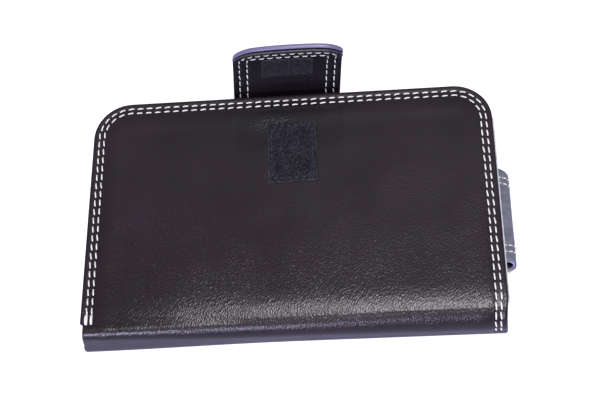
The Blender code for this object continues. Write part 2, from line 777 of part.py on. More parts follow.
def strap_layers(part, start, end):
    """The two skins and the stay of one part of the strap, the outer skin away from the cover."""
    skin_low = STRAP_HALF_THICKNESS - STRAP_SKIN
    inner = strap_sheet(
        f"strap_{part}_inner", skin_low, STRAP_HALF_THICKNESS, 0.0, start, end, BLACK_LEATHER, 0.42
    )
    strap_sheet(f"strap_{part}_outer", -STRAP_HALF_THICKNESS, -skin_low, 0.0, start, end, BLACK_LEATHER, 0.36)
    strap_sheet(
        f"strap_{part}_stay", -STRAP_STAY / 2, STRAP_STAY / 2, STAY_MARGIN, start, end, STAY_PLASTIC, 0.5
    )
    return inner


def strap_side_path(side, margin, start, end, steps):
    """Path down one side of the strap on its inner face."""
    half = STRAP_WIDTH / 2 - margin
    stops = np.linspace(start, end, steps + 1)
    found = [strap_point(side * half, along, STRAP_HALF_THICKNESS) for along in stops]
    return np.array([point for point, normal in found]), np.array([normal for point, normal in found])


def strap_tip_path(margin, start):
    """Path up the left side of the strap's tip, round its end and down the right side."""
    rows = strap_rows(margin, start, STRAP_LENGTH)
    line = [(-half, along) for along, half in rows] + [(half, along) for along, half in reversed(rows)]
    found = [strap_point(across, along, STRAP_HALF_THICKNESS) for across, along in line]
    return np.array([point for point, normal in found]), np.array([normal for point, normal in found])


def make_strap_root():
    start = LAYER_GAP
    end = STRAP_ROOT_LENGTH - FOLD_GAP / 2
    inner = strap_layers("root", start, end)
    rows = (("outer", STRAP_SEAM_OUTER), ("inner", STRAP_SEAM_INNER))
    for row, margin in rows:
        for side_name, side in (("left", -1), ("right", 1)):
            cut = strap_side_path(side, margin, start - CUT_OVERRUN, end + CUT_OVERRUN, 1)
            groove(inner, *cut, depth=STRAP_GROOVE_DEPTH)
            path = strap_side_path(side, margin, start, end, 1)
            seam(f"strap_root_seam_{row}_{side_name}", *path)


def make_strap_tip():
    start = STRAP_ROOT_LENGTH + FOLD_GAP / 2
    inner = strap_layers("tip", start, STRAP_LENGTH)
    for row, margin in (("outer", STRAP_SEAM_OUTER), ("inner", STRAP_SEAM_INNER)):
        points, normals = strap_tip_path(margin, start - CUT_OVERRUN)
        groove(inner, points, normals, depth=STRAP_GROOVE_DEPTH)
        seam(f"strap_tip_seam_{row}", *strap_tip_path(margin, start))


def make_hook_tape():
    high_end = STRAP_LENGTH - HOOK_TAPE_SET_BACK
    low = STRAP_HALF_THICKNESS + LAYER_GAP
    grids = []
    for height in (low + HOOK_TAPE_HEIGHT, low):
        rows = []
        for k in range(CURL_STEPS + 1):
            along = high_end - HOOK_TAPE_LENGTH * (1 - k / CURL_STEPS)
            rows.append([strap_point(side * HOOK_TAPE_WIDTH / 2, along, height)[0] for side in (-1, 1)])
        grids.append(np.array(rows))
    shell("hook_tape", grids[1], grids[0], DARK_HOOKS, 0.8)


# Assembly


def attach(empty, prefixes):
    """Parents the pieces whose names start with a prefix to an empty, and leaves them where they are."""
    bpy.context.view_layer.update()
    for obj in bpy.data.objects:
        if obj.type == "MESH" and not obj.hide_render and obj.name.startswith(prefixes):
            obj.parent = empty
            obj.matrix_parent_inverse = empty.matrix_world.inverted()


def cover_fold_middle():
    """Middle of the straight fold line between the front cover and the spine."""
    ends = [fold_point(x, hinge_turn(x))[0] for x in (-HALF_WIDTH + STRIP_INSET, HALF_WIDTH)]
    return (ends[0] + ends[1]) / 2


def strap_fold_place():
    """Middle of the strap's fold line, which runs across its inner face."""
    return strap_point(0.0, STRAP_ROOT_LENGTH, STRAP_HALF_THICKNESS)[0]


def make_joints():
    """Empties at the spine's foot, the front fold line, the strap's root and the strap's fold."""
    empties = {}
    places = (
        ("spine_fold_axis", None, (0.0, SPINE_Y, FOOT_BEND)),
        ("cover_fold_axis", "spine_fold_axis", tuple(cover_fold_middle())),
        ("strap_root_axis", None, (STRAP_OFFSET, STRAP_ROOT_Y, STRAP_ROOT_HEIGHT)),
        ("strap_fold_axis", "strap_root_axis", tuple(strap_fold_place())),
    )
    for name, parent, place in places:
        empty = bpy.data.objects.new(name, None)
        bpy.context.scene.collection.objects.link(empty)
        empty.location = place
        if parent:
            bpy.context.view_layer.update()
            empty.parent = empties[parent]
            empty.matrix_parent_inverse = empties[parent].matrix_world.inverted()
        empties[name] = empty
    attach(empties["spine_fold_axis"], ("spine_",))
    attach(empties["cover_fold_axis"], ("front_", "loop_tape", "card_pocket"))
    attach(empties["strap_root_axis"], ("strap_root_",))
    attach(empties["strap_fold_axis"], ("strap_tip_", "hook_tape"))


def main():
    clear_scene()
    make_back_leather()
    make_back_board()
    make_back_lining()
    make_back_seams()
    make_strap_anchor()
    make_phone_holder()
    make_pen_loop()
    make_pen_loop_seams()
    make_spine_leather()
    make_spine_lining()
    make_spine_seams()
    make_front_leather()
    make_front_board()
    make_front_lining()
    make_front_seams()
    make_loop_tape()
    make_card_pockets()
    make_strap_root()
    make_strap_tip()
    make_hook_tape()
    make_joints()


main()
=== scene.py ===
"""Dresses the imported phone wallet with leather, stitches, tapes and linings, in a plain studio.
"""

import json
import math

import bmesh
import bpy
import numpy as np
from mathutils import Matrix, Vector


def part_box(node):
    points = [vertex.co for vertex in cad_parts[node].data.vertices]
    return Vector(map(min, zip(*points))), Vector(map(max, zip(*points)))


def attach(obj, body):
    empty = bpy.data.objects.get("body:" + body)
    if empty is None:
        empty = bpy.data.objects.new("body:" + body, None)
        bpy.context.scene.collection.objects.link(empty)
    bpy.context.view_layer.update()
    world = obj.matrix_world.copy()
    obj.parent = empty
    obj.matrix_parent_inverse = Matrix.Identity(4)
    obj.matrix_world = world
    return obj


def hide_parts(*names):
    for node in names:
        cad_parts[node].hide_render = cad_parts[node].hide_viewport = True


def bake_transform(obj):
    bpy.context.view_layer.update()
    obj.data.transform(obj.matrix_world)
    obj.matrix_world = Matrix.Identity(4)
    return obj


bl_info = {
    "name": "Phone Wallet",
    "version": (1, 0, 0),
    "blender": (4, 5, 0),
    "location": "View3D > Sidebar > Wallet",
    "description": "Builds the leather, stitches, tapes and linings of a folding phone wallet",
    "category": "Add Mesh",
}

MM = 0.001
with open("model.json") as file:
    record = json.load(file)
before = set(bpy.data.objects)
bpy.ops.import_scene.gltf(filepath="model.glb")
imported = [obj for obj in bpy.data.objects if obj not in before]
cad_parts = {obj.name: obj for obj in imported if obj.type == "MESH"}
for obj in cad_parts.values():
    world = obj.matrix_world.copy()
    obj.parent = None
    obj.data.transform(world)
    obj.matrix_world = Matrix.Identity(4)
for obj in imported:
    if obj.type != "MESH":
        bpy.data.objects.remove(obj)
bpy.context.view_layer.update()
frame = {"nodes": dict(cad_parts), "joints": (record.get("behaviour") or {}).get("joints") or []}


# Places read from the frame

HALF_WIDTH, FAR_Y, TOP_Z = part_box("front_outer_leather")[1]
SPINE_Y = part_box("spine_leather")[0][1]
JOINTS = {joint["name"]: joint for joint in frame["joints"]}
STRAP_ROOT = np.array(JOINTS["strap_root_bend"]["pos_m"])
STRAP_FOLD = np.array(JOINTS["strap_fold"]["pos_m"])

# Profiles of the fold between the front cover and the spine, at three places on X. Each is a gentle
# power curve down to a crease, a straight slope and a round that ends upright on the spine.

GENTLE_START = 13.8 * MM
GENTLE_POWER = 2.6
FOLD_X = (-64.0 * MM, -5.0 * MM, 45.0 * MM)
CREASES = (7.0 * MM, 4.4 * MM, 4.9 * MM)
CREASE_SINKS = (0.0, 1.05 * MM, 0.80 * MM)
SLOPES = (0.0, math.radians(21.0), math.radians(24.0))
ROUNDS = (3.0 * MM, 4.8 * MM, 6.6 * MM)
FOLD_STATION = 0.3 * MM  # flat length that one row of a profile takes
FOLD_START = SPINE_Y + GENTLE_START

# The spine's two ends and its foot

END_RUN = 12.0 * MM  # length on X over which an end's shape fades out
BULGE = 0.9 * MM  # how far the left end swells towards the front
BULGE_TOP = 9.5 * MM
BULGE_RUN = 8.0 * MM
SPLAY = 0.9 * MM  # how far the left end's foot stands out to the left
STRIP_INSET = 0.9 * MM  # how far the spine's strip stands back from the cover's left edge
STEP_BACK = 4.3 * MM
TUCK = 0.9 * MM  # how far the top of the right end is drawn in
TUCK_RUN = 8.0 * MM
SPINE_SPLIT = 3.0 * MM  # height at which the front and the back skins meet
FOOT_BEND = 1.5 * MM
FOOT_ARC = FOOT_BEND * math.pi / 2
FOOT_Y = SPINE_Y + FOOT_BEND
BACK_START = FOOT_Y - FOOT_ARC - (SPINE_SPLIT - FOOT_BEND)
FOOT_EASE_START = 5.0 * MM
FOOT_EASE = 6.0 * MM

# Zones where a skin crosses between two bodies: the second body, the zone's start and its end; no piece is
# bent across them

FRONT_BEND = 3.4 * MM
FRONT_ZONE = ("spine", (0.0, SPINE_Y + FRONT_BEND, TOP_Z), (0.0, SPINE_Y, TOP_Z - FRONT_BEND))
BACK_ZONE = ("spine", (0.0, FOOT_Y, 0.0), (0.0, SPINE_Y, FOOT_BEND))
STRAP_BEND = 3.2 * MM

# Relief of the covers

COVER_TUCK = 1.4 * MM  # how far the turned edge runs in under a cover
SEW_EASE = 2.0 * MM  # length over which a seam's trough fades in
PUFF_INSET = 7.5 * MM
PUFF_SPREAD = 3.0 * MM
PRINT_SHIFT = 1.0 * MM  # the closed strap leaves a shallow print, a little left of the middle
PRINT_HALF_WIDTH = 18.5 * MM
PRINT_SIDE = 3.0 * MM
PRINT_LENGTH = 21.0 * MM
PRINT_END = 8.0 * MM
PRINT_MARGIN = 3.6 * MM
PRINT_EDGE = 2.0 * MM
PRINT_SINK = 0.18 * MM
WAVE_HEIGHT = 0.05 * MM
WAVE_X = 17.0 * MM
WAVE_Y = 13.0 * MM
WAVE_SWAY = 11.0 * MM
WAVE_EASE = 8.0 * MM
FIELD_INSET = 5.0 * MM  # waves and wrinkles stay this far from the edge
WRINKLE_HEIGHT = 0.035 * MM
WRINKLE_PITCH = 3.1 * MM
WRINKLE_SWAY = 7.0 * MM
WRINKLE_PATCH = 23.0 * MM
WRINKLE_EASE = 4.0 * MM
WRINKLE_REACH = 9.0 * MM
BACK_GROOVE = 0.55 * MM
BACK_ROW_END = 4.5 * MM
BACK_SEAM_DEPTH = 0.5 * MM

# A painted highlight along the front cover's right side: a pale bead for the light on its rounded edge

EDGE_HIGHLIGHT_START = 9.0 * MM
EDGE_HIGHLIGHT_LOW = -1.75 * MM
EDGE_HIGHLIGHT_HIGH = -1.05 * MM
EDGE_HIGHLIGHT_OUT = 0.42 * MM
# The point where the creases beside the loop tape gather, and round which painted shade darkens the cover
CRUMPLE_AND_SHADE_SHIFT = 2.0 * MM  # the creases beside the loop tape gather this far right of its left edge

# Stitches: counts, angles and shares of the thread's width

STITCH_STEPS, STITCH_SIDES = 7, 8
STITCH_WOBBLE = 0.045
STITCH_DRIFT_SHARE = 0.05
STITCH_HEIGHT_SHARE = 0.40
WIDTH_LOSS_SHARE = 0.28
HEIGHT_LOSS_SHARE = 0.25
TACK_TURNS = np.radians((-6.0, 7.0, 0.0))
TACK_OFFSET_SHARES = np.array((-0.34, 0.34, 0.0))
TACK_RISE_SHARES = np.array((0.0, 0.0, 0.3))
TACK_WEIGHTS = {"outer": 1.2, "inner": 0.95}

# The strap

STRAP_SHIFT = 0.125 * MM
STRAP_GLUE = 0.03 * MM
STRAP_START = 0.2 * MM
STRAP_SEAM_START = 0.4 * MM
STRAP_TUCK = 0.6 * MM
STRAP_ROLL_SHARE = 0.40
STRAP_TROUGH = 0.12 * MM
STRAP_TIP_EASE = 8.0 * MM
STRAP_SEAM_SINK = 0.09 * MM
EDGE_OUT = 0.34 * MM
EDGE_SHARES = (-1.0, -0.08)  # heights of the painted edge, in thicknesses of the back skin
# The rim's bead is pale as a painted highlight of the light on the inner skin's rolled edge
RIM_OUT = 0.22 * MM
RIM_SHARES = (0.35, 0.85)  # heights of the worn rim, in thicknesses of the inner skin
PROBE = 0.4 * MM  # inset that gives an outline's outward direction
BEAD_SIDES = 16

# The hook tape on the strap and the loop tape on the front cover

HOOK_TAPE_FROM_TIP = 14.6 * MM
HOOK_TAPE_LENGTH = 9.4 * MM
HOOK_TAPE_CORNER = 0.8 * MM
HOOK_TAPE_BASE = 0.42 * MM
HOOK_TAPE_ROLL = 0.16 * MM
HOOK_MARGINS = (1.1 * MM, 0.9 * MM)
HOOK_COUNTS = (17, 10)
HOOK_HEIGHT = 0.52 * MM
HOOK_REACH = 0.30 * MM
HOOK_THREAD = 0.075 * MM
HOOK_BEND = math.radians(144.0)
HOOK_TOP = math.pi * 0.62
TAPE_TUCK = 0.4 * MM
LOOP_TAPE_SINK = 0.05 * MM
LOOP_TAPE_CORNER = 0.7 * MM
LOOP_TAPE_BASE = 0.62 * MM
LOOP_TAPE_ROLL = 0.22 * MM
PILE_MARGIN = 0.30 * MM
PILE_THREAD = 0.055 * MM
PILE_SPANS = (0.25 * MM, 0.55 * MM)  # least and greatest half span of a loop
PILE_HEIGHTS = (0.30 * MM, 0.85 * MM)
PILE_LEAN = 0.22 * MM
PILE_TUFTS = (27, 21)
PILE_TUFT_SHARES = (0.25, 1.0)
PILE_PRESS_SHARE = 0.75  # share of the pile's height that the sewn line takes away
TAPE_SEAM_INSET = 1.3 * MM
TAPE_SEAM_SPREAD = 0.45 * MM
TAPE_SEAM_LIFT = 0.16 * MM
TAPE_SEAM_PITCH = 2.2 * MM
TAPE_STITCH = 1.9 * MM
TAPE_THREAD = 0.4 * MM
TAPE_CREST = 0.3 * MM
TAPE_DIVE = 0.1 * MM

# Linings, pockets and the phone holder

LINING_MARGIN = 0.7 * MM
LINING_THICKNESS = 0.5 * MM
LINING_ROLL = 0.2 * MM
LINING_TUCK = 0.6 * MM
POCKET_CORNER = 3.0 * MM
SPINE_LINING_DEPTH = 1.1 * MM
SPINE_LINING_MARGIN = 1.6 * MM
SPINE_LINING_REACH = 5.4 * MM
HOLDER_CORNER = 4.0 * MM
HOLDER_MARGIN = 11.0 * MM
HOLDER_WINDOW_CORNER = 5.0 * MM
HOLDER_LEATHER = 0.7 * MM
GUSSET_WALL = 0.6 * MM
GUSSET_CORNER = 3.4 * MM
GUSSET_RUN_OUT = 4.0 * MM
GUSSET_FOLD = 0.45 * MM

# The pen loop

LOOP_HALF_WIDTH = 3.9 * MM
LOOP_HALF_HEIGHT = 3.25 * MM
LOOP_SQUARENESS = 2.5
LOOP_SKIN = 0.45 * MM
LOOP_LINING = 0.72 * MM
LOOP_OVERHANG = 0.15 * MM
LOOP_CUT = 1.6 * MM  # how far the mouth's top stands back from its foot
LOOP_FAR_SHARE = 1.5  # how far the far end's right side is drawn in, as a share of the cut
LOOP_SLACK = 0.12 * MM
LOOP_SLACK_RUN = 5.2 * MM
LOOP_SEAM_ANGLES = (-78.0, 118.0)  # where its rows start and end round the tube, in degrees
LOOP_SEAM_SLANT = 0.1
LOOP_SEAM_PULL = 0.9 * MM
TONGUE_THICKNESS = 0.9 * MM
TONGUE_ROLL = 0.3 * MM
TONGUE_CORNER = 0.6 * MM
TONGUE_TUCK = 0.5 * MM
TONGUE_START = 1.2 * MM
TONGUE_LEVEL = 0.95 * MM

# Materials: places of their patterns and depths of their reliefs

GRAIN_FADE = (12.0 * MM, 58.0 * MM)
POLISH_FADE = (22.0 * MM, 60.0 * MM)
CRUMPLE_RUN = (1.2 * MM, 5.0 * MM)
SHADE_RUN = (7.0 * MM, 16.0 * MM)
# Painted shade inside the pen loop's mouth
INSIDE_SHADE_RUN = (0.2 * MM, 0.8 * MM)
EDGE_SHEEN_RUN = (21.0 * MM, 27.0 * MM)
GRAIN_DEPTH = 0.10 * MM
CRUMPLE_DEPTH = 0.22 * MM
FINE_DEPTH = 0.05 * MM
LOOP_CREASE_DEPTH = 0.15 * MM
NAP_DEPTH = 0.08 * MM
PLY_DEPTH = 0.10 * MM
WEAVE_DEPTH = 0.06 * MM
FLOW_DEPTH = 0.03 * MM

# Stage, in metres

FLOOR_REACH = 3.0
GLOW_RUN = (0.2, 1.0)
OVERHEAD_PLACE = (0.11, -0.13, 0.80)
OVERHEAD_SIZE = (0.27, 0.17)
OVERHEAD_COLOUR = (0.97, 0.97, 1.0)
FRONT_PLACE = (-0.29, -0.75, 0.50)
FRONT_SIZE = (0.40, 0.18)
FRONT_COLOUR = (0.72, 0.72, 1.0)
WHITE = (1.0, 1.0, 1.0, 1.0)
SENSOR_WIDTH = 36.0
CAMERA_CLIP = 10.0 * MM
CAMERA_PLACE = (33.69 * MM, -141.26 * MM, 323.63 * MM)
CAMERA_RIGHT = (0.99481, -0.00785, -0.10142)
CAMERA_UP = (0.04933, 0.90916, 0.41352)
CAMERA_BACK = (0.08896, -0.41638, 0.90483)

MERGE_DISTANCE = 1e-3 * MM
TINY = 1e-6 * MM
SHARP_ANGLE = math.radians(50.0)
MIRROR = np.array([-1.0, 1.0])


# Sizes and colours that a user may change


def length_prop(name, description, default):
    """A length."""
    return bpy.props.FloatProperty(name=name, description=description, default=default, unit="LENGTH")


def angle_prop(name, description, degrees):
    """An angle, whose default is given in degrees."""
    return bpy.props.FloatProperty(
        name=name, description=description, default=math.radians(degrees), unit="ROTATION"
    )


def colour_prop(name, description, *default):
    """A colour in three linear parts."""
    return bpy.props.FloatVectorProperty(
        name=name, description=description, subtype="COLOR", size=3, default=default
    )


class CoverSizes(bpy.types.PropertyGroup):
    """The covers with their linings and boards, and the pen loop."""

    corner: length_prop("Corner radius", "Radius of the two far corners", 12.0 * MM)
    edge: length_prop("Edge thickness", "Height of the turned leather edge", 2.1 * MM)
    roll: length_prop("Edge roll", "Radius of the turned edge", 0.75 * MM)
    trough: length_prop("Seam trough", "How far the stitches pull the leather down", 0.22 * MM)
    puff: length_prop("Puff", "How far the leather swells inside the seam", 0.16 * MM)
    leather: colour_prop("Leather", "Colour of the outer leather", 0.0085, 0.0024, 0.0075)
    # The pen loop's slate, far lighter than the covers' black, is partly painted sheen of the light on it
    loop: colour_prop("Pen loop", "Colour of the pen loop's leather", 0.145, 0.150, 0.200)
    suede: colour_prop("Pen loop lining", "Colour of the pen loop's lining", 0.42, 0.40, 0.60)
    # Painted highlight: the pale colour of the bead along the front cover's right edge
    edge_highlight: colour_prop("Edge highlight", "Colour of the painted edge highlight", 0.72, 0.74, 0.82)
    lining: colour_prop("Lining", "Colour of the lining", 0.020, 0.018, 0.024)
    board: colour_prop("Board", "Colour of the boards inside", 0.24, 0.21, 0.17)


class SeamSizes(bpy.types.PropertyGroup):
    """The two rows of stitches."""

    outer: length_prop("Outer row", "Outer row's distance from the edge", 2.0 * MM)
    inner: length_prop("Inner row", "Inner row's distance from the edge", 3.6 * MM)
    pitch: length_prop("Stitch pitch", "Distance between needle holes", 3.0 * MM)
    length: length_prop("Stitch length", "Visible length of a stitch", 2.4 * MM)
    side_length: length_prop("Side stitch length", "Visible length of a stitch on the sides", 2.7 * MM)
    width: length_prop("Thread width", "Width of the thread", 0.46 * MM)
    slant: angle_prop("Slant", "How far each stitch turns from its row", 5.5)
    start: length_prop("Row start", "Left end of the rows, from the spine's outer face", 4.7 * MM)
    tack: length_prop("Bar tack", "Length of the bar tack that ends each row", 3.5 * MM)
    thread: colour_prop("Thread", "Colour of the thread", 0.86, 0.84, 0.80)


class StrapSizes(bpy.types.PropertyGroup):
    """The closing strap."""

    width: length_prop("Width", "Width of the strap", 34.45 * MM)
    root: length_prop("Root length", "Length from the back cover to the fold", 13.0 * MM)
    tip: length_prop("Tip length", "Length from the fold to the tip", 17.2 * MM)
    rise: angle_prop("Rise", "Slope of the root at rest", 73.0)
    curl: angle_prop("Curl", "Turn of the tip over its length", 33.0)
    lean: bpy.props.FloatProperty(
        name="Lean", description="Sideways drift for each unit of length", default=0.115
    )
    corner: length_prop("Corner radius", "Radius of the tip's corners", 6.0 * MM)
    bow: length_prop("Tip bow", "How far the tip's end is arched", 1.5 * MM)
    flare: length_prop("Flare", "How far the tip's right corner stands out", 1.2 * MM)
    taper: length_prop("Taper", "How far the tip's left corner draws in", 1.0 * MM)
    skin: length_prop("Skin", "Thickness of the inner skin", 0.95 * MM)
    back_skin: length_prop("Back skin", "Thickness of the back skin", 1.6 * MM)
    outer_row: length_prop("Outer row", "Outer row's distance from the edge", 1.9 * MM)
    inner_row: length_prop("Inner row", "Inner row's distance from the edge", 4.4 * MM)
    leather: colour_prop("Leather", "Colour of the strap's leather", 0.0065, 0.0045, 0.0065)
    # The edge paint's pale lilac is painted sheen of the light on the strap's edge; the rim's grey is a
    # painted highlight
    edge: colour_prop("Edge paint", "Colour of the painted edge", 0.155, 0.138, 0.262)
    rim: colour_prop("Rim", "Colour of the inner skin's rim highlight", 0.052, 0.050, 0.066)
    hook: colour_prop("Hook tape", "Colour of the hook tape", 0.020, 0.018, 0.026)


class TapeSizes(bpy.types.PropertyGroup):
    """The loop tape on the front cover."""

    width: length_prop("Width", "Width of the tape", 15.6 * MM)
    length: length_prop("Length", "Length of the tape", 21.0 * MM)
    turn: angle_prop("Turn", "How far the tape is turned", 1.3)
    loops: bpy.props.IntProperty(
        name="Loops", description="Number of loops in the pile", default=3400, min=100
    )
    pile: colour_prop("Pile", "Colour of the pile", 0.010, 0.009, 0.020)
    tips: colour_prop("Worn tips", "Colour of the pile's worn tips", 0.092, 0.080, 0.148)
    selvedge: colour_prop("Selvedge", "Colour of the woven edge", 0.034, 0.031, 0.046)
    thread: colour_prop("Thread", "Colour of the thread that holds the tape", 0.02, 0.02, 0.035)


class StageSettings(bpy.types.PropertyGroup):
    """The lamps and the camera."""

    overhead: bpy.props.FloatProperty(
        name="Overhead lamp", description="Power of the overhead lamp", default=4.8, unit="POWER"
    )
    front: bpy.props.FloatProperty(
        name="Front lamp", description="Power of the front lamp", default=6.5, unit="POWER"
    )
    world: bpy.props.FloatProperty(
        name="Room light", description="Strength of the light from all round", default=0.33, min=0.0
    )
    lens: bpy.props.FloatProperty(
        name="Lens", description="Focal length on a 36 mm sensor, in millimetres", default=66.83
    )


# Mesh helpers


def make_object(name, points, faces):
    """A new object at the origin from points and faces, with doubles merged and faces turned outwards."""
    mesh = bpy.data.meshes.new(name)
    mesh.from_pydata(points.reshape(-1, 3), [], faces)
    work = bmesh.new()
    work.from_mesh(mesh)
    bmesh.ops.remove_doubles(work, verts=work.verts, dist=MERGE_DISTANCE)
    bmesh.ops.recalc_face_normals(work, faces=work.faces)
    work.to_mesh(mesh)
    work.free()
    mesh.shade_smooth()
    mesh.set_sharp_from_angle(angle=SHARP_ANGLE)
    obj = bpy.data.objects.new(name, mesh)
    bpy.context.scene.collection.objects.link(obj)
    return obj


def stack_points(x, y, z):
    """Points from coordinates whose shapes broadcast."""
    return np.stack(np.broadcast_arrays(x, y, z), -1)


def number(points):
    """Point numbers in the shape of an array of points."""
    return np.arange(points[..., 0].size).reshape(points.shape[:-1])


def unit(vectors):
    """Vectors brought to a length of 1."""
    return vectors / np.linalg.norm(vectors, axis=-1, keepdims=True)


def grid_faces(index):
    """Quads between the neighbours of an array of point numbers."""
    return np.stack([index[:-1, :-1], index[1:, :-1], index[1:, 1:], index[:-1, 1:]], axis=-1).reshape(-1, 4)


def torus_faces(index):
    """Quads of a grid that is closed in both directions."""
    rings = np.concatenate([index, index[:1]])
    return grid_faces(np.concatenate([rings, rings[:, :1]], axis=1)).tolist()


def tube_faces(index):
    """Quads and two end caps of tubes, from point numbers by tube, ring and place round the ring."""
    ring = np.concatenate([index, index[:, :, :1]], axis=2)
    sides = np.stack([ring[:, :-1, :-1], ring[:, 1:, :-1], ring[:, 1:, 1:], ring[:, :-1, 1:]], axis=-1)
    caps = np.concatenate([index[:, 0, ::-1], index[:, -1]])
    return sides.reshape(-1, 4).tolist() + caps.tolist()


def closed_sheet(name, upper, lower):
    """A sheet between two grids of points, with a wall round its border."""
    index = number(upper)
    border = np.concatenate([index[:, 0], index[-1, 1:], index[-2::-1, -1], index[0, -2:0:-1]])
    after = np.roll(border, -1)
    wall = np.stack([border, after, after + index.size, border + index.size], 1)
    faces = np.concatenate([grid_faces(index), grid_faces(index + index.size), wall])
    return make_object(name, np.stack([upper, lower]), faces.tolist())


def finish_piece(obj, body, material, nodes=(), zone=None):
    """Gives a piece its finish; without a zone it joins its body, with a zone its place is only baked into
    its mesh.
    """
    obj.data.materials.append(material)
    if zone is None:
        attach(obj, body)
    else:
        second, start, end = zone
        tuple(start)
        tuple(end)
        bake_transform(obj)
    if nodes:
        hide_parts(*nodes)


def smoothstep(value):
    """0 below 0, 1 above 1 and an easy cubic curve between."""
    share = np.clip(value, 0.0, 1.0)
    return share * share * (3 - 2 * share)


def hump(value):
    """A bell curve of height 1: e to the power of minus the value squared."""
    return np.exp(-(value**2))


def edge_section(thickness, roll, corner, tuck, steps=6, inner_steps=18):
    """Section of a turned edge as insets and heights: under the panel, round the edge and over the top.

    Two quarter circles of the roll's radius join a short wall, and the top then runs in to the corner's
    centre, with its points closer together near the edge.
    """
    turn = np.linspace(0.0, math.pi / 2, steps)
    roll = min(roll, thickness / 2)
    under = np.array([[tuck, -thickness]])
    lower = np.stack([roll * (1 - np.sin(turn)), -thickness + roll * (1 - np.cos(turn))], 1)
    upper = np.stack([roll * (1 - np.cos(turn)), -roll * (1 - np.sin(turn))], 1)
    share = np.linspace(0.0, 1.0, inner_steps + 1)[1:]
    top = np.stack([roll + (corner - roll) * share**1.25, np.zeros(inner_steps)], 1)
    return np.concatenate([under, lower, upper, top])


def panel(name, half_width, far, corner, section, rows, columns, place, relief=None, corner_steps=14):
    """A closed leather panel with two round far corners, worked out on flat coordinates and then placed.

    The border is the edge section carried along the outline, left side, far end and right side; the
    field inside it is a plain grid. place(a, b, height) bends flat points into space, and relief(a, b)
    lifts or sinks the top face. Flat faces close the underside and the near end.
    """
    turn = np.linspace(0.0, math.pi / 2, corner_steps)[1:-1]
    inner = half_width - corner
    across = np.linspace(-inner, inner, columns)
    side = np.stack([np.full(len(rows), -half_width), rows], 1)
    bend = np.stack([-inner - corner * np.cos(turn), far - corner + corner * np.sin(turn)], 1)
    end = np.stack([across, np.full(columns, far)], 1)
    side_in = np.tile((1.0, 0.0), (len(rows), 1))
    bend_in = np.stack([np.cos(turn), -np.sin(turn)], 1)
    end_in = np.tile((0.0, -1.0), (columns, 1))
    outline = np.concatenate([side, bend, end, bend[::-1] * MIRROR, side[::-1] * MIRROR])
    inward = np.concatenate([side_in, bend_in, end_in, bend_in[::-1] * MIRROR, side_in[::-1] * MIRROR])
    strip = outline[:, None] + inward[:, None] * section[:, :1]
    strip_heights = np.broadcast_to(section[:, 1], strip.shape[:2])
    field = np.stack(np.meshgrid(across, rows), -1)
    flat = np.concatenate([strip.reshape(-1, 2), field.reshape(-1, 2)])
    heights = np.concatenate([strip_heights.reshape(-1), np.zeros(field[..., 0].size)])
    if relief is not None:
        top_share = np.clip(1 + heights / abs(section[:, 1].min()) * 2, 0.0, 1.0)
        heights = heights + relief(flat[:, 0], flat[:, 1]) * top_share
    points = place(flat[:, 0], flat[:, 1], heights)
    border = number(strip)
    inside = border.size + number(field)
    count = len(rows)
    left, right = border[:count, 0], border[::-1][:count, 0]
    under = np.stack([left[:-1], right[:-1], right[1:], left[1:]], 1)
    faces = np.concatenate([grid_faces(border), grid_faces(inside), under]).tolist()
    faces.append(border[count - 1 : len(outline) - count + 1, 0].tolist())
    faces.append(border[0].tolist() + inside[0, 1:-1].tolist() + border[-1, ::-1].tolist())
    return make_object(name, points, faces)


def bead(name, flat, outwards, place, low, high, out):
    """An ellipse between two heights that stands out on both sides of a flat path, carried along it."""
    turn = np.linspace(0.0, 2 * math.pi, BEAD_SIDES + 1)[:-1]
    lift = (low + high) / 2 + (high - low) / 2 * np.sin(turn)
    ring = flat[:, None] + outwards[:, None] * (out * np.cos(turn))[:, None]
    points = place(ring[..., 0], ring[..., 1], lift)
    return make_object(name, points, tube_faces(number(points)[None]))


def outline_path(half_width, far, corner, inset, left, right, bend_steps, end_steps):
    """Flat path inside a panel's outline: up its left side, round the far end and down its right side.

    left and right are the places along the sides, in the order of the path.
    """
    turn = np.linspace(0.0, math.pi / 2, bend_steps)
    inner = half_width - corner
    radius = corner - inset
    start = np.stack([np.full(len(left), -half_width + inset), left], 1)
    bend = np.stack([-inner - radius * np.cos(turn), far - corner + radius * np.sin(turn)], 1)
    across = np.stack([np.linspace(-inner, inner, end_steps), np.full(end_steps, far - inset)], 1)
    finish = np.stack([np.full(len(right), half_width - inset), right], 1)
    return np.concatenate([start[:-1], bend[:-1], across[:-1], bend[::-1][:-1] * MIRROR, finish])


def depth_from_edge(a, b, half_width, far, corner):
    """Distance inside an outline with straight sides and two round far corners."""
    out_a = np.maximum(np.abs(a) - (half_width - corner), 0.0)
    out_b = np.maximum(b - (far - corner), 0.0)
    return corner - np.hypot(out_a, out_b)


# Shape of the covers


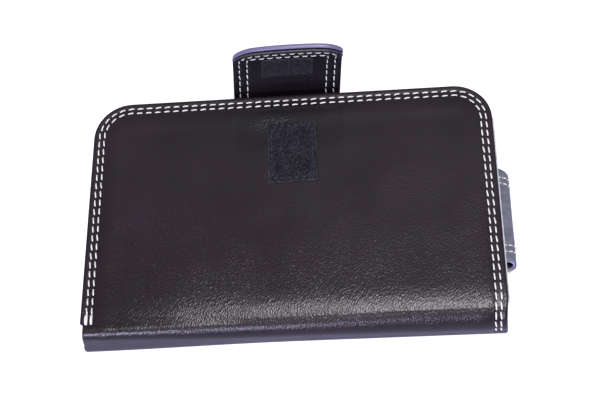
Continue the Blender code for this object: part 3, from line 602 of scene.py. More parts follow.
def fold_profile(crease, sink, slope, radius, count=20):
    """Profile of the fold as rows of (y, z), in three stretches of equal counts and an upright end.

    A power curve sinks to the crease, a straight line leaves it at the slope, and an arc of the radius
    turns from the slope to upright on the spine's outer face.
    """
    share = np.linspace(0.0, 1.0, count)
    gentle_y = SPINE_Y + GENTLE_START + (crease - GENTLE_START) * share
    gentle_z = TOP_Z - sink * share**GENTLE_POWER
    round_y = SPINE_Y + radius * (1 - math.sin(slope))
    line_y = gentle_y[-1] + (round_y - gentle_y[-1]) * share
    line_z = gentle_z[-1] - (gentle_y[-1] - line_y) * math.tan(slope)
    turn = slope + (math.pi / 2 - slope) * share
    arc_y = SPINE_Y + radius * (1 - np.sin(turn))
    arc_z = line_z[-1] - radius * (math.cos(slope) - np.cos(turn))
    y = np.concatenate([gentle_y, line_y[1:], arc_y[1:], [SPINE_Y]])
    z = np.concatenate([gentle_z, line_z[1:], arc_z[1:], [SPINE_SPLIT]])
    return np.stack([y, z], 1)


FOLD_TABLES = [fold_profile(*sizes) for sizes in zip(CREASES, CREASE_SINKS, SLOPES, ROUNDS)]
FOLD_COUNT = len(FOLD_TABLES[0]) - 1
FOLD_END = FOLD_START - FOLD_COUNT * FOLD_STATION


def at_station(table, station):
    """Linear lookup of a two-column table at fractional row numbers."""
    rows = np.arange(len(table))
    return np.stack([np.interp(station, rows, table[:, 0]), np.interp(station, rows, table[:, 1])], -1)


def fold_point(a, station):
    """Points (y, z) of the fold at fractional stations, eased along X from one profile to the next."""
    first = smoothstep((a - FOLD_X[0]) / (FOLD_X[1] - FOLD_X[0]))[..., None]
    second = smoothstep((a - FOLD_X[1]) / (FOLD_X[2] - FOLD_X[1]))[..., None]
    left, middle, right = [at_station(table, station) for table in FOLD_TABLES]
    return left + (middle - left) * first + (right - middle) * second


def near_end(a):
    """1 at the right edge, falling evenly to 0."""
    return np.clip((a - HALF_WIDTH) / END_RUN + 1, 0.0, 1.0)


def spine_bulge(a, z):
    """Swelling of the spine's left half, which grows towards its foot."""
    return BULGE * smoothstep(-a / HALF_WIDTH) * smoothstep((BULGE_TOP - z) / BULGE_RUN)


def front_place(a, b, height):
    """Puts flat points on the front cover, its fold and the spine; height stands off the outer face.

    Beyond the start of the fold, a flat length is read as a station of the fold's profile, and height
    follows the profile's normal. The left end is then inset and splayed, and the right end tucked in.
    """
    station = (FOLD_START - b) / FOLD_STATION
    here = fold_point(a, station)
    along = fold_point(a, station + 0.5) - fold_point(a, station - 0.5)
    along /= np.maximum(np.linalg.norm(along, axis=-1, keepdims=True), TINY)
    flat = station <= 0
    y = np.where(flat, b, here[..., 0])
    z = np.where(flat, TOP_Z, here[..., 1])
    normal_y = np.where(flat, 0.0, along[..., 1])
    normal_z = np.where(flat, 1.0, -along[..., 0])
    step_y = SPINE_Y + STEP_BACK + STRIP_INSET / 2
    inset = STRIP_INSET * smoothstep((step_y - y) / (STRIP_INSET / 2))
    down = np.clip(1 - z / TOP_Z, 0.0, 1.0)
    tuck = np.clip((SPINE_Y + TUCK_RUN - y) / TUCK_RUN, 0.0, 1.0) * (1 - down)
    x = a + near_end(-a) * (inset * (1 - down) - SPLAY * down) - near_end(a) * TUCK * tuck
    y = y - spine_bulge(a, z)
    return stack_points(x, y + normal_y * height, z + normal_z * height)


def back_place(a, b, height):
    """Puts flat points under the back cover, round a quarter circle at its foot and up the spine."""
    beyond = FOOT_Y - b
    turn = np.clip(beyond / FOOT_BEND, 0.0, math.pi / 2)
    foot = smoothstep((beyond + FOOT_EASE_START) / FOOT_EASE)
    z = FOOT_BEND * (1 - np.cos(turn)) + np.maximum(beyond - FOOT_ARC, 0.0)
    y = np.where(beyond <= 0, b, SPINE_Y + FOOT_BEND * (1 - np.sin(turn))) - spine_bulge(a, z) * foot
    down = 1 - z / TOP_Z
    x = a - (near_end(-a) * SPLAY * down + near_end(a) * TUCK * (1 - down)) * foot
    return stack_points(x, y - np.sin(turn) * height, z - np.cos(turn) * height)


def seam_trough(a, b, depth):
    """A broad trough between the two rows and a narrow one under each, absent before the rows' start."""
    covers = bpy.context.scene.wallet_covers
    seams = bpy.context.scene.wallet_seams
    middle = (seams.outer + seams.inner) / 2
    gap = seams.inner - seams.outer
    lift = -covers.trough * hump((depth - middle) / (gap * 0.95))
    for row in (seams.outer, seams.inner):
        lift = lift - covers.trough * 0.35 * hump((depth - row) / (seams.width * 0.7))
    sewn = smoothstep((b - SPINE_Y - seams.start) / SEW_EASE + 1)
    return lift * np.where(a < 0, sewn, 1.0)


def strap_print(a, b):
    """The shallow print that the closed strap leaves at the cover's far edge."""
    across = smoothstep((PRINT_HALF_WIDTH - np.abs(a + PRINT_SHIFT)) / PRINT_SIDE)
    near = smoothstep((b - (FAR_Y - PRINT_LENGTH)) / PRINT_END)
    return -PRINT_SINK * across * near * smoothstep((FAR_Y - PRINT_MARGIN - b) / PRINT_EDGE)


def front_relief(a, b):
    """Trough, puff and print, slow crossed sine waves, and slanting wrinkles near the spine."""
    covers = bpy.context.scene.wallet_covers
    depth = depth_from_edge(a, b, HALF_WIDTH, FAR_Y, covers.corner)
    puff = covers.puff * hump((depth - PUFF_INSET) / PUFF_SPREAD)
    lift = seam_trough(a, b, depth) + puff + strap_print(a, b)
    wave = np.sin(a / WAVE_X + 0.7 * np.sin(b / WAVE_SWAY)) * np.sin(b / WAVE_Y + 1.3)
    lift = lift + WAVE_HEIGHT * wave * smoothstep((depth - FIELD_INSET) / WAVE_EASE)
    spine_side = smoothstep((FOLD_START + WRINKLE_REACH - b) / WRINKLE_REACH)
    slanting = (a + 0.35 * b) / WRINKLE_PITCH + 1.1 * np.sin(a / WRINKLE_SWAY)
    wrinkle = np.sin(slanting) * np.sin(a / WRINKLE_PATCH)
    return lift + WRINKLE_HEIGHT * wrinkle * spine_side * smoothstep((depth - FIELD_INSET) / WRINKLE_EASE)


def back_relief(a, b):
    """A groove for each row, so that the stitches stay above the table."""
    covers = bpy.context.scene.wallet_covers
    seams = bpy.context.scene.wallet_seams
    depth = depth_from_edge(a, b, HALF_WIDTH, FAR_Y, covers.corner)
    grooves = sum(hump((depth - row) / (seams.width * 0.9)) for row in (seams.outer, seams.inner))
    return -BACK_GROOVE * grooves * smoothstep((b - SPINE_Y - BACK_ROW_END) / SEW_EASE + 1)


class WALLET_OT_front_skin(bpy.types.Operator):
    """Build the leather of the front cover and the spine"""

    bl_idname = "wallet.front_skin"
    bl_label = "Front cover and spine"
    bl_options = {"REGISTER", "UNDO"}

    def execute(self, context):
        covers = context.scene.wallet_covers
        section = edge_section(covers.edge, covers.roll, covers.corner, COVER_TUCK, inner_steps=26)
        fold_rows = np.linspace(FOLD_END, FOLD_START, FOLD_COUNT + 1)
        flat_rows = np.linspace(FOLD_START, FAR_Y - covers.corner, 64)[1:]
        rows = np.concatenate([fold_rows, flat_rows])
        obj = panel(
            "front_skin", HALF_WIDTH, FAR_Y, covers.corner, section, rows, 140, front_place, front_relief
        )
        tape_low, tape_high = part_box("loop_tape")
        # Fine creases gather round this point, and painted shade darkens the cover round it
        crumple_and_shade = (tape_low[0] + CRUMPLE_AND_SHADE_SHIFT, tape_high[1], TOP_Z)
        material = outer_leather("front_leather", covers.leather, crumple_and_shade=crumple_and_shade)
        nodes = ("front_outer_leather", "spine_leather")
        finish_piece(obj, "front_cover", material, nodes, FRONT_ZONE)
        return {"FINISHED"}


class WALLET_OT_front_edge(bpy.types.Operator):
    """Build a pale bead along the front cover's right side, a painted highlight of the light on its edge"""

    bl_idname = "wallet.front_edge"
    bl_label = "Front edge"
    bl_options = {"REGISTER", "UNDO"}

    def execute(self, context):
        covers = context.scene.wallet_covers
        b = np.linspace(SPINE_Y + EDGE_HIGHLIGHT_START, FAR_Y - covers.corner, 60)
        flat = np.stack([np.full(len(b), HALF_WIDTH), b], 1)
        outwards = np.tile((1.0, 0.0), (len(b), 1))
        # A pale bead that paints the highlight on the cover's rounded edge
        obj = bead(
            "front_edge_highlight", flat, outwards, front_place, EDGE_HIGHLIGHT_LOW, EDGE_HIGHLIGHT_HIGH, EDGE_HIGHLIGHT_OUT
        )
        finish_piece(obj, "front_cover", suede_material("edge_highlight", covers.edge_highlight))
        return {"FINISHED"}


class WALLET_OT_back_skin(bpy.types.Operator):
    """Build the leather of the back cover"""

    bl_idname = "wallet.back_skin"
    bl_label = "Back cover"
    bl_options = {"REGISTER", "UNDO"}

    def execute(self, context):
        covers = context.scene.wallet_covers
        section = edge_section(covers.edge, covers.roll, covers.corner, COVER_TUCK, inner_steps=40)
        foot_rows = np.linspace(BACK_START, FOOT_Y, 14)[:-1]
        rows = np.concatenate([foot_rows, np.linspace(FOOT_Y, FAR_Y - covers.corner, 60)])
        obj = panel("back_skin", HALF_WIDTH, FAR_Y, covers.corner, section, rows, 90, back_place, back_relief)
        material = outer_leather("back_leather", covers.leather)
        finish_piece(obj, "back_cover", material, ("back_outer_leather",), BACK_ZONE)
        return {"FINISHED"}


# Stitches


def cover_path(inset, start, end, corner):
    """Flat path of a seam round a cover, from the start on the left side to the end on the right."""
    left = np.linspace(start, FAR_Y - corner, 120)
    right = np.linspace(FAR_Y - corner, end, 400)
    return outline_path(HALF_WIDTH, FAR_Y, corner, inset, left, right, 24, 160)


def path_frames(place, flat, lift, side=1.0):
    """Points on a placed path, with the outward directions there, on the upper or the under (-1) side."""
    points = place(flat[:, 0], flat[:, 1], side * lift)
    above = place(flat[:, 0], flat[:, 1], side * (lift + MM))
    return points, unit(above - points)


def spaced(points, outward, pitch):
    """Middles of equal steps along a path, with their directions along it and outwards."""
    lengths = np.concatenate([[0.0], np.cumsum(np.linalg.norm(np.diff(points, axis=0), axis=1))])
    count = max(1, round(lengths[-1] / pitch))
    middle = (np.arange(count) + 0.5) * lengths[-1] / count

    def at(values, where):
        """Linear lookup of each column at lengths along the path."""
        return np.stack([np.interp(where, lengths, values[:, k]) for k in range(3)], 1)

    along = unit(at(points, middle + pitch / 4) - at(points, middle - pitch / 4))
    out = at(outward, middle)
    out -= along * np.sum(along * out, axis=1)[:, None]
    return at(points, middle), along, unit(out)


def stitch_mesh(name, centres, along, outward, length, width, slant, crest, dive):
    """One thread for each stitch: an ellipse carried along an arch that dives into both needle holes.

    The arch's height is the crest less a cube of the distance from the middle, and the section narrows
    with its square. A seeded wobble turns and shifts each stitch a little.
    """
    rng = np.random.default_rng(len(centres))
    half_length = np.broadcast_to(np.asarray(length) / 2, len(centres))
    turn = (slant + rng.normal(0.0, STITCH_WOBBLE, len(centres)))[:, None]
    across = np.cross(outward, along)
    lead = along * np.cos(turn) + across * np.sin(turn)
    beside = across * np.cos(turn) - along * np.sin(turn)
    centres = centres + across * rng.normal(0.0, width * STITCH_DRIFT_SHARE, len(centres))[:, None]
    t = np.linspace(-1.0, 1.0, STITCH_STEPS)
    rise = crest - (crest + dive) * np.abs(t) ** 3
    half_width = width / 2 * (1 - WIDTH_LOSS_SHARE * t**2)
    half_height = width * STITCH_HEIGHT_SHARE * (1 - HEIGHT_LOSS_SHARE * t**2)
    angle = np.arange(STITCH_SIDES) * 2 * math.pi / STITCH_SIDES
    core = (
        centres[:, None]
        + lead[:, None] * (half_length[:, None] * t)[..., None]
        + outward[:, None] * (rise - width * STITCH_HEIGHT_SHARE)[:, None]
    )
    points = (
        core[:, :, None]
        + beside[:, None, None] * (half_width[:, None] * np.cos(angle))[..., None]
        + outward[:, None, None] * (half_height[:, None] * np.sin(angle))[..., None]
    )
    return make_object(name, points, tube_faces(number(points)))


def tack_mesh(name, centre, along, outward, seams, weight):
    """A bar tack: long stitches laid side by side over the end of a row, each a little turned."""
    across = np.cross(outward, along)
    width = seams.width * weight
    offsets = TACK_OFFSET_SHARES[:, None] * width
    rises = TACK_RISE_SHARES[:, None] * width
    return stitch_mesh(
        name,
        centre + offsets * across + rises * outward,
        along * np.cos(TACK_TURNS)[:, None] + across * np.sin(TACK_TURNS)[:, None],
        np.tile(outward, (len(TACK_TURNS), 1)),
        seams.tack * (0.6 + 0.35 * weight),
        width * 1.15,
        slant=0.0,
        crest=width * 0.85,
        dive=width * 0.3,
    )


class WALLET_OT_front_seams(bpy.types.Operator):
    """Sew two rows and their bar tacks round the front cover, over the fold and down the spine"""

    bl_idname = "wallet.front_seams"
    bl_label = "Front stitches"
    bl_options = {"REGISTER", "UNDO"}

    def execute(self, context):
        covers, seams = context.scene.wallet_covers, context.scene.wallet_seams
        thread = thread_material("white_thread", seams.thread)
        start = SPINE_Y + seams.start
        for word, inset in (("outer", seams.outer), ("inner", seams.inner)):
            flat = cover_path(inset, start + seams.tack, FOLD_END, covers.corner)
            points, outward = path_frames(front_place, flat, 0.0)
            points = points + outward * front_relief(flat[:, 0], flat[:, 1])[:, None]
            centres, along, out = spaced(points, outward, seams.pitch)
            side_share = np.abs(along[:, 0] ** 2 - 1)
            length = seams.length + (seams.side_length - seams.length) * side_share
            row = stitch_mesh(
                f"front_stitches_{word}", centres, along, out, length, seams.width, seams.slant,
                crest=seams.width * 0.72, dive=seams.width * 0.3,
            )
            nodes = (f"front_seam_{word}", f"spine_seam_{word}")
            finish_piece(row, "front_cover", thread, nodes, FRONT_ZONE)
            middle = np.array([(inset - HALF_WIDTH, start + seams.tack / 2)])
            centre, normal = path_frames(front_place, middle, 0.0)
            along = np.array((0.0, 1.0, 0.0))
            tack = tack_mesh(f"front_tack_{word}", centre[0], along, normal[0], seams, TACK_WEIGHTS[word])
            finish_piece(tack, "front_cover", thread)
        return {"FINISHED"}


class WALLET_OT_back_seams(bpy.types.Operator):
    """Sew the rows under the back cover, sunk in their grooves"""

    bl_idname = "wallet.back_seams"
    bl_label = "Back stitches"
    bl_options = {"REGISTER", "UNDO"}

    def execute(self, context):
        covers, seams = context.scene.wallet_covers, context.scene.wallet_seams
        thread = thread_material("back_thread", seams.thread)
        end = SPINE_Y + BACK_ROW_END
        for word, inset in (("outer", seams.outer), ("inner", seams.inner)):
            flat = cover_path(inset, end, end, covers.corner)
            points, outward = path_frames(back_place, flat, -BACK_SEAM_DEPTH)
            centres, along, out = spaced(points, outward, seams.pitch)
            row = stitch_mesh(
                f"back_stitches_{word}", centres, along, out, seams.length, seams.width, -seams.slant,
                crest=seams.width * 0.65, dive=seams.width * 0.2,
            )
            finish_piece(row, "back_cover", thread, (f"back_seam_{word}",))
        return {"FINISHED"}


# Strap


def strap_place(a, b, height):
    """Puts flat points on the strap: a straight root, then a tip that curls forward on a circle.

    b runs from the root line to the tip, height stands off the middle surface towards the covers. The
    strap leans sideways, its end is arched, and its right corner flares out and forwards.
    """
    strap = bpy.context.scene.wallet_strap
    half = strap.width / 2
    full = strap.root + strap.tip
    bow_start = full - strap.corner - strap.bow
    end_share = np.clip((b - bow_start) / (full - bow_start), 0.0, 1.0)
    left = np.clip(-a / half, 0.0, 1.0)
    right = np.clip(a / half, 0.0, 1.0)
    b = b - strap.bow * (a / half) ** 2 * end_share * (1 + 0.7 * left)
    straight = np.minimum(b, strap.root)
    radius = strap.tip / strap.curl
    slope = strap.rise + np.maximum(b - strap.root, 0.0) / radius
    y = STRAP_ROOT[1] + straight * math.cos(strap.rise) + radius * (np.sin(slope) - math.sin(strap.rise))
    z = STRAP_ROOT[2] + straight * math.sin(strap.rise) + radius * (math.cos(strap.rise) - np.cos(slope))
    near_tip = smoothstep((b - full) / STRAP_TIP_EASE + 1)
    drift = near_tip * (strap.flare * right + strap.taper * left)
    x = STRAP_ROOT[0] + STRAP_SHIFT + strap.lean * b + a + drift
    height = height + strap.flare * near_tip * right**4
    return stack_points(x, y - np.sin(slope) * height, z + np.cos(slope) * height)


def strap_zone(strap):
    """Bending zone of the strap, along its slope either side of the fold line."""
    along = np.array([0.0, math.cos(strap.rise), math.sin(strap.rise)]) * STRAP_BEND
    return "strap_tip", STRAP_FOLD - along, STRAP_FOLD + along


def strap_relief(a, b):
    """Trough along each row of stitches."""
    strap = bpy.context.scene.wallet_strap
    seams = bpy.context.scene.wallet_seams
    depth = depth_from_edge(a, b, strap.width / 2, strap.root + strap.tip, strap.corner)
    return -STRAP_TROUGH * sum(
        hump((depth - row) / (seams.width * 1.1)) for row in (strap.outer_row, strap.inner_row)
    )


def strap_path(inset, strap):
    """Flat path up the strap's left side, round its tip and down its right side."""
    full = strap.root + strap.tip
    side = np.linspace(STRAP_SEAM_START, full - strap.corner, 60)
    return outline_path(strap.width / 2, full, strap.corner, inset, side, side[::-1], 16, 40)


def edge_band(name, thickness, shares, out):
    """A bead along the strap's edge, between two shares of a skin's thickness."""
    strap = bpy.context.scene.wallet_strap
    flat = strap_path(0.0, strap)
    outwards = (flat - strap_path(PROBE, strap)) / PROBE
    return bead(name, flat, outwards, strap_place, shares[0] * thickness, shares[1] * thickness, out)


class WALLET_OT_strap(bpy.types.Operator):
    """Build the strap's two skins, its painted edge and its rim, both pale at the top with painted sheen"""

    bl_idname = "wallet.strap"
    bl_label = "Strap"
    bl_options = {"REGISTER", "UNDO"}

    def execute(self, context):
        strap, covers = context.scene.wallet_strap, context.scene.wallet_covers
        full = strap.root + strap.tip
        material = outer_leather("strap_leather", strap.leather, FAR_Y)
        rows = np.linspace(STRAP_START, full - strap.corner, 60)

        def inner_place(a, b, height):
            """Heights from the top face of the skin that looks to the covers."""
            return strap_place(a, b, height + strap.skin + STRAP_GLUE)

        def outer_place(a, b, height):
            """Heights from the top face of the back skin, which looks the other way."""
            return strap_place(a, b, -height - strap.back_skin - STRAP_GLUE)

        stays = ("strap_root_stay", "strap_tip_stay")
        roll = strap.skin * STRAP_ROLL_SHARE
        for word, place, skin, extra in (
            ("inner", inner_place, strap.skin, stays),
            ("outer", outer_place, strap.back_skin, ()),
        ):
            section = edge_section(skin, roll, strap.corner, STRAP_TUCK, steps=5, inner_steps=22)
            obj = panel(
                f"strap_skin_{word}", strap.width / 2, full, strap.corner, section, rows, 50,
                place, strap_relief,
            )
            nodes = (f"strap_root_{word}", f"strap_tip_{word}", *extra)
            finish_piece(obj, "strap_root", material, nodes, strap_zone(strap))
        # The edge and the rim are pale high on the strap as painted sheen and highlight of the light on them
        for name, colour, thickness, shares, out in (
            ("edge", strap.edge, strap.back_skin, EDGE_SHARES, EDGE_OUT),
            ("rim", strap.rim, strap.skin, RIM_SHARES, RIM_OUT),
        ):
            paint = edge_material(f"strap_{name}_paint", colour, covers.leather)
            band = edge_band(f"strap_{name}", thickness, shares, out)
            finish_piece(band, "strap_root", paint, (), strap_zone(strap))
        return {"FINISHED"}


class WALLET_OT_strap_seams(bpy.types.Operator):
    """Sew two rows round both faces of the strap"""

    bl_idname = "wallet.strap_seams"
    bl_label = "Strap stitches"
    bl_options = {"REGISTER", "UNDO"}

    def execute(self, context):
        strap, seams = context.scene.wallet_strap, context.scene.wallet_seams
        thread = thread_material("strap_thread", seams.thread)
        for word, inset in (("outer", strap.outer_row), ("inner", strap.inner_row)):
            root_seam = f"strap_root_seam_{word}"
            solids = (f"{root_seam}_left", f"{root_seam}_right", f"strap_tip_seam_{word}")
            flat = strap_path(inset, strap)
            for face, side, skin, nodes in (
                ("inner", 1.0, strap.skin, solids),
                ("outer", -1.0, strap.back_skin, ()),
            ):
                points, outward = path_frames(strap_place, flat, skin - STRAP_SEAM_SINK, side)
                centres, along, out = spaced(points, outward, seams.pitch * 0.92)
                row = stitch_mesh(
                    f"strap_{face}_stitches_{word}", centres, along, out, seams.length, seams.width * 0.75,
                    side * seams.slant, crest=seams.width * 0.62, dive=seams.width * 0.25,
                )
                finish_piece(row, "strap_root", thread, nodes, strap_zone(strap))
        return {"FINISHED"}


# Hook tape and loop tape


def hook_mesh(name, a, b, place):
    """Small crooks: a four-sided thread carried up and over, alternately to the left and to the right.

    Along its length it moves across by one less the cosine of its bend, and up by the sine.
    """
    bend = np.linspace(0.0, HOOK_BEND, 6)
    side = np.where(np.arange(len(a)) % 2 == 0, 1.0, -1.0)
    across = side[:, None] * HOOK_REACH * (1 - np.cos(bend)) / 2
    up = HOOK_HEIGHT * np.sin(np.minimum(bend, HOOK_TOP))
    angle = np.arange(4) * math.pi / 2
    ring_a = (a[:, None] + across)[..., None] + np.cos(angle) * HOOK_THREAD
    ring_b = b[:, None, None] + np.sin(angle) * HOOK_THREAD
    points = place(ring_a, ring_b, up[:, None])
    return make_object(name, points, tube_faces(number(points)))


class WALLET_OT_hook_tape(bpy.types.Operator):
    """Build the strap's hook tape: a thin woven base and rows of small hooks"""

    bl_idname = "wallet.hook_tape"
    bl_label = "Hook tape"
    bl_options = {"REGISTER", "UNDO"}

    def execute(self, context):
        strap = context.scene.wallet_strap
        low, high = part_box("hook_tape")
        half = (high[0] - low[0]) / 2 - strap.lean * HOOK_TAPE_LENGTH / 2
        first = strap.root + strap.tip - HOOK_TAPE_FROM_TIP
        last = first + HOOK_TAPE_LENGTH
        corner = HOOK_TAPE_CORNER
        section = edge_section(HOOK_TAPE_BASE, HOOK_TAPE_ROLL, corner, TAPE_TUCK, steps=4, inner_steps=5)

        def place(a, b, height):
            """Heights from the top face of the woven base."""
            return strap_place(a, b, height + strap.skin + HOOK_TAPE_BASE)

        rows = np.linspace(first, last - corner, 14)
        base = panel("hook_tape_base", half, last, corner, section, rows, 20, place, corner_steps=6)
        finish_piece(base, "strap_tip", woven_material("hook_tape_weave", strap.hook))
        columns = np.linspace(-half + HOOK_MARGINS[0], half - HOOK_MARGINS[0], HOOK_COUNTS[0])
        lines = np.linspace(first + HOOK_MARGINS[1], last - HOOK_MARGINS[1], HOOK_COUNTS[1])
        a, b = [grid.reshape(-1) for grid in np.meshgrid(columns, lines)]
        hooks = hook_mesh("hook_tape_hooks", a, b, place)
        nylon = plastic_material("hook_nylon", strap.hook)
        finish_piece(hooks, "strap_tip", nylon, ("hook_tape",))
        return {"FINISHED"}


def pile_mesh(name, tape, place):
    """Loops of the pile: a three-sided thread on a half ellipse, seeded and pressed down by the seam.

    Half ellipses of random span, height and turn lean a little; a coarse grid of tufts and a bell curve
    along the sewn line lower their heights.
    """
    rng = np.random.default_rng(11)
    count = tape.loops
    half_a, half_b = tape.width / 2, tape.length / 2
    a = rng.uniform(-half_a + PILE_MARGIN, half_a - PILE_MARGIN, count)
    b = rng.uniform(-half_b + PILE_MARGIN, half_b - PILE_MARGIN, count)
    edge = np.minimum(half_a - np.abs(a), half_b - np.abs(b))
    pressed = 1 - PILE_PRESS_SHARE * hump((edge - TAPE_SEAM_INSET) / TAPE_SEAM_SPREAD)
    tufts = rng.uniform(*PILE_TUFT_SHARES, PILE_TUFTS)
    row = np.floor((b / tape.length + 0.5) * (PILE_TUFTS[0] - 0.1)).astype(int)
    column = np.floor((a / tape.width + 0.5) * (PILE_TUFTS[1] - 0.1)).astype(int)
    turn = rng.uniform(0.0, math.pi, count)[:, None]
    span = rng.uniform(*PILE_SPANS, count)[:, None]
    height = rng.uniform(*PILE_HEIGHTS, count) * pressed * tufts[row, column]
    lean = rng.normal(0.0, PILE_LEAN, (count, 2))
    arch = np.linspace(0.0, math.pi, 6)
    along, up = np.cos(arch) * span, np.sin(arch) * height[:, None]
    centre_a = a[:, None] + along * np.cos(turn) + lean[:, :1] * np.sin(arch)
    centre_b = b[:, None] + along * np.sin(turn) + lean[:, 1:] * np.sin(arch)
    angle = np.arange(3) * 2 * math.pi / 3
    ring_a = centre_a[..., None] - np.sin(turn)[..., None] * np.cos(angle) * PILE_THREAD
    ring_b = centre_b[..., None] + np.cos(turn)[..., None] * np.cos(angle) * PILE_THREAD
    ring_up = LOOP_TAPE_BASE + up[..., None] + np.sin(angle) * PILE_THREAD
    points = place(np.clip(ring_a, -half_a, half_a), np.clip(ring_b, -half_b, half_b), ring_up)
    return make_object(name, points, tube_faces(number(points)))


class WALLET_OT_loop_tape(bpy.types.Operator):
    """Build the loop tape: a woven base, a pile of fine loops and a dark sewn line"""

    bl_idname = "wallet.loop_tape"
    bl_label = "Loop tape"
    bl_options = {"REGISTER", "UNDO"}

    def execute(self, context):
        tape = context.scene.wallet_tape
        low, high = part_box("loop_tape")
        centre = ((low[0] + high[0]) / 2, (low[1] + high[1]) / 2)
        cosine, sine = math.cos(tape.turn), math.sin(tape.turn)
        half_a, half_b = tape.width / 2, tape.length / 2
        corner = LOOP_TAPE_CORNER

        def place(a, b, height):
            """Turns flat points about the tape's middle and lays them on the cover."""
            x = centre[0] + a * cosine - b * sine
            y = centre[1] + a * sine + b * cosine
            return stack_points(x, y, TOP_Z - LOOP_TAPE_SINK + height)

        def base_place(a, b, height):
            """The same, with heights from the top face of the woven base."""
            return place(a, b, height + LOOP_TAPE_BASE)

        section = edge_section(LOOP_TAPE_BASE, LOOP_TAPE_ROLL, corner, TAPE_TUCK, steps=4, inner_steps=4)
        rows = np.linspace(-half_b, half_b - corner, 16)
        base = panel("loop_tape_base", half_a, half_b, corner, section, rows, 14, base_place, corner_steps=5)
        finish_piece(base, "front_cover", woven_material("loop_tape_weave", tape.selvedge))
        pile = pile_mesh("loop_tape_pile", tape, place)
        material = pile_material("loop_pile", tape.pile, tape.tips)
        finish_piece(pile, "front_cover", material, ("loop_tape",))
        corners = np.array([(-1, -1), (1, -1), (1, 1), (-1, 1), (-1, -1)])
        corners = corners * (half_a - TAPE_SEAM_INSET, half_b - TAPE_SEAM_INSET)
        share = np.linspace(0.0, 1.0, 30)[:-1, None]
        flat = np.concatenate([start + (end - start) * share for start, end in zip(corners, corners[1:])])
        points, outward = path_frames(place, flat, LOOP_TAPE_BASE + TAPE_SEAM_LIFT)
        centres, along, out = spaced(points, outward, TAPE_SEAM_PITCH)
        seam = stitch_mesh(
            "loop_tape_stitches", centres, along, out, TAPE_STITCH, TAPE_THREAD, 0.0, TAPE_CREST, TAPE_DIVE
        )
        thread = thread_material("navy_thread", tape.thread)
        finish_piece(seam, "front_cover", thread, ("loop_tape_seam",))
        return {"FINISHED"}


# Linings, pockets and the phone holder


def lining_sheet(name, node, corner, facing, count):
    """A thin flat panel on a node's width and length, whose top face looks up (1) or down (-1)."""
    low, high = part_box(node)
    level = high[2] if facing > 0 else low[2]

    def place(a, b, height):
        """Keeps flat points flat, at the level of the top face."""
        return stack_points(a, b, level + facing * height)

    section = edge_section(LINING_THICKNESS, LINING_ROLL, corner, LINING_TUCK, steps=4, inner_steps=6)
    rows = np.linspace(low[1], high[1] - corner, count)
    return panel(name, high[0], high[1], corner, section, rows, count, place)


def bent_strip(name, place, rows):
    """A thin strip under a bent skin, between two depths, closed all round."""
    half = HALF_WIDTH - SPINE_LINING_MARGIN
    a, b = np.meshgrid(np.linspace(-half, half, 60), rows)
    depths = (SPINE_LINING_DEPTH, SPINE_LINING_DEPTH + LINING_THICKNESS)
    return closed_sheet(name, *[place(a, b, -depth) for depth in depths])


class WALLET_OT_linings(bpy.types.Operator):
    """Build the linings of both covers"""

    bl_idname = "wallet.linings"
    bl_label = "Linings"
    bl_options = {"REGISTER", "UNDO"}

    def execute(self, context):
        covers = context.scene.wallet_covers
        material = lining_leather("lining_leather", covers.lining)
        corner = covers.corner - LINING_MARGIN
        for word, facing in (("front", -1.0), ("back", 1.0)):
            obj = lining_sheet(f"{word}_lining_sheet", f"{word}_lining", corner, facing, 24)
            finish_piece(obj, f"{word}_cover", material, (f"{word}_lining",))
        return {"FINISHED"}


class WALLET_OT_spine_linings(bpy.types.Operator):
    """Build the lining inside the spine, in an upper and a lower strip that meet half way up"""

    bl_idname = "wallet.spine_linings"
    bl_label = "Spine linings"
    bl_options = {"REGISTER", "UNDO"}

    def execute(self, context):
        covers = context.scene.wallet_covers
        material = lining_leather("spine_lining_leather", covers.lining)
        rows = FOLD_START - np.linspace(FOLD_COUNT, FOLD_COUNT / 2, 36) * FOLD_STATION
        upper = bent_strip("spine_lining_upper", front_place, rows)
        finish_piece(upper, "front_cover", material, ("spine_lining",), FRONT_ZONE)
        rows = np.linspace(BACK_START, SPINE_Y + SPINE_LINING_REACH, 30)
        lower = bent_strip("spine_lining_lower", back_place, rows)
        finish_piece(lower, "back_cover", material, (), BACK_ZONE)
        return {"FINISHED"}


def rounded_loop(low, high, radius, steps=10, side_steps=14):
    """Points round a rectangle with round corners, the same number for any size."""
    corners = (
        (high[0] - radius, high[1] - radius, 0.0),
        (low[0] + radius, high[1] - radius, 0.5),
        (low[0] + radius, low[1] + radius, 1.0),
        (high[0] - radius, low[1] + radius, 1.5),
    )
    arcs = []
    for x, y, start in corners:
        turn = (start + np.linspace(0.0, 0.5, steps)) * math.pi
        arcs.append(np.stack([x + radius * np.cos(turn), y + radius * np.sin(turn)], 1))
    share = np.linspace(0.0, 1.0, side_steps)[1:-1, None]
    pieces = []
    for arc, after in zip(arcs, arcs[1:] + arcs[:1]):
        pieces += [arc, arc[-1] + (after[0] - arc[-1]) * share]
    return np.concatenate(pieces)


def holder_frame(low, high):
    """The holder's leather frame: a ring between two rounded rectangles, with half-round rims."""
    outer = rounded_loop(low[:2], high[:2], HOLDER_CORNER)
    window = rounded_loop(
        (low[0] + HOLDER_MARGIN, low[1] + HOLDER_MARGIN),
        (high[0] - HOLDER_MARGIN, high[1] - HOLDER_MARGIN),
        HOLDER_WINDOW_CORNER,
    )
    turn = np.linspace(0.0, math.pi, 7)
    inward = unit(outer - window)[:, None] * (HOLDER_LEATHER / 2 * (1 - np.sin(turn)))[:, None]
    xy = np.concatenate([outer[:, None] - inward, window[:, None] + inward], 1)
    z = high[2] - HOLDER_LEATHER / 2 * np.concatenate([1 - np.cos(turn), 1 + np.cos(turn)])
    points = stack_points(xy[..., 0], xy[..., 1], z)
    return make_object("holder_frame", points, torus_faces(number(points)))


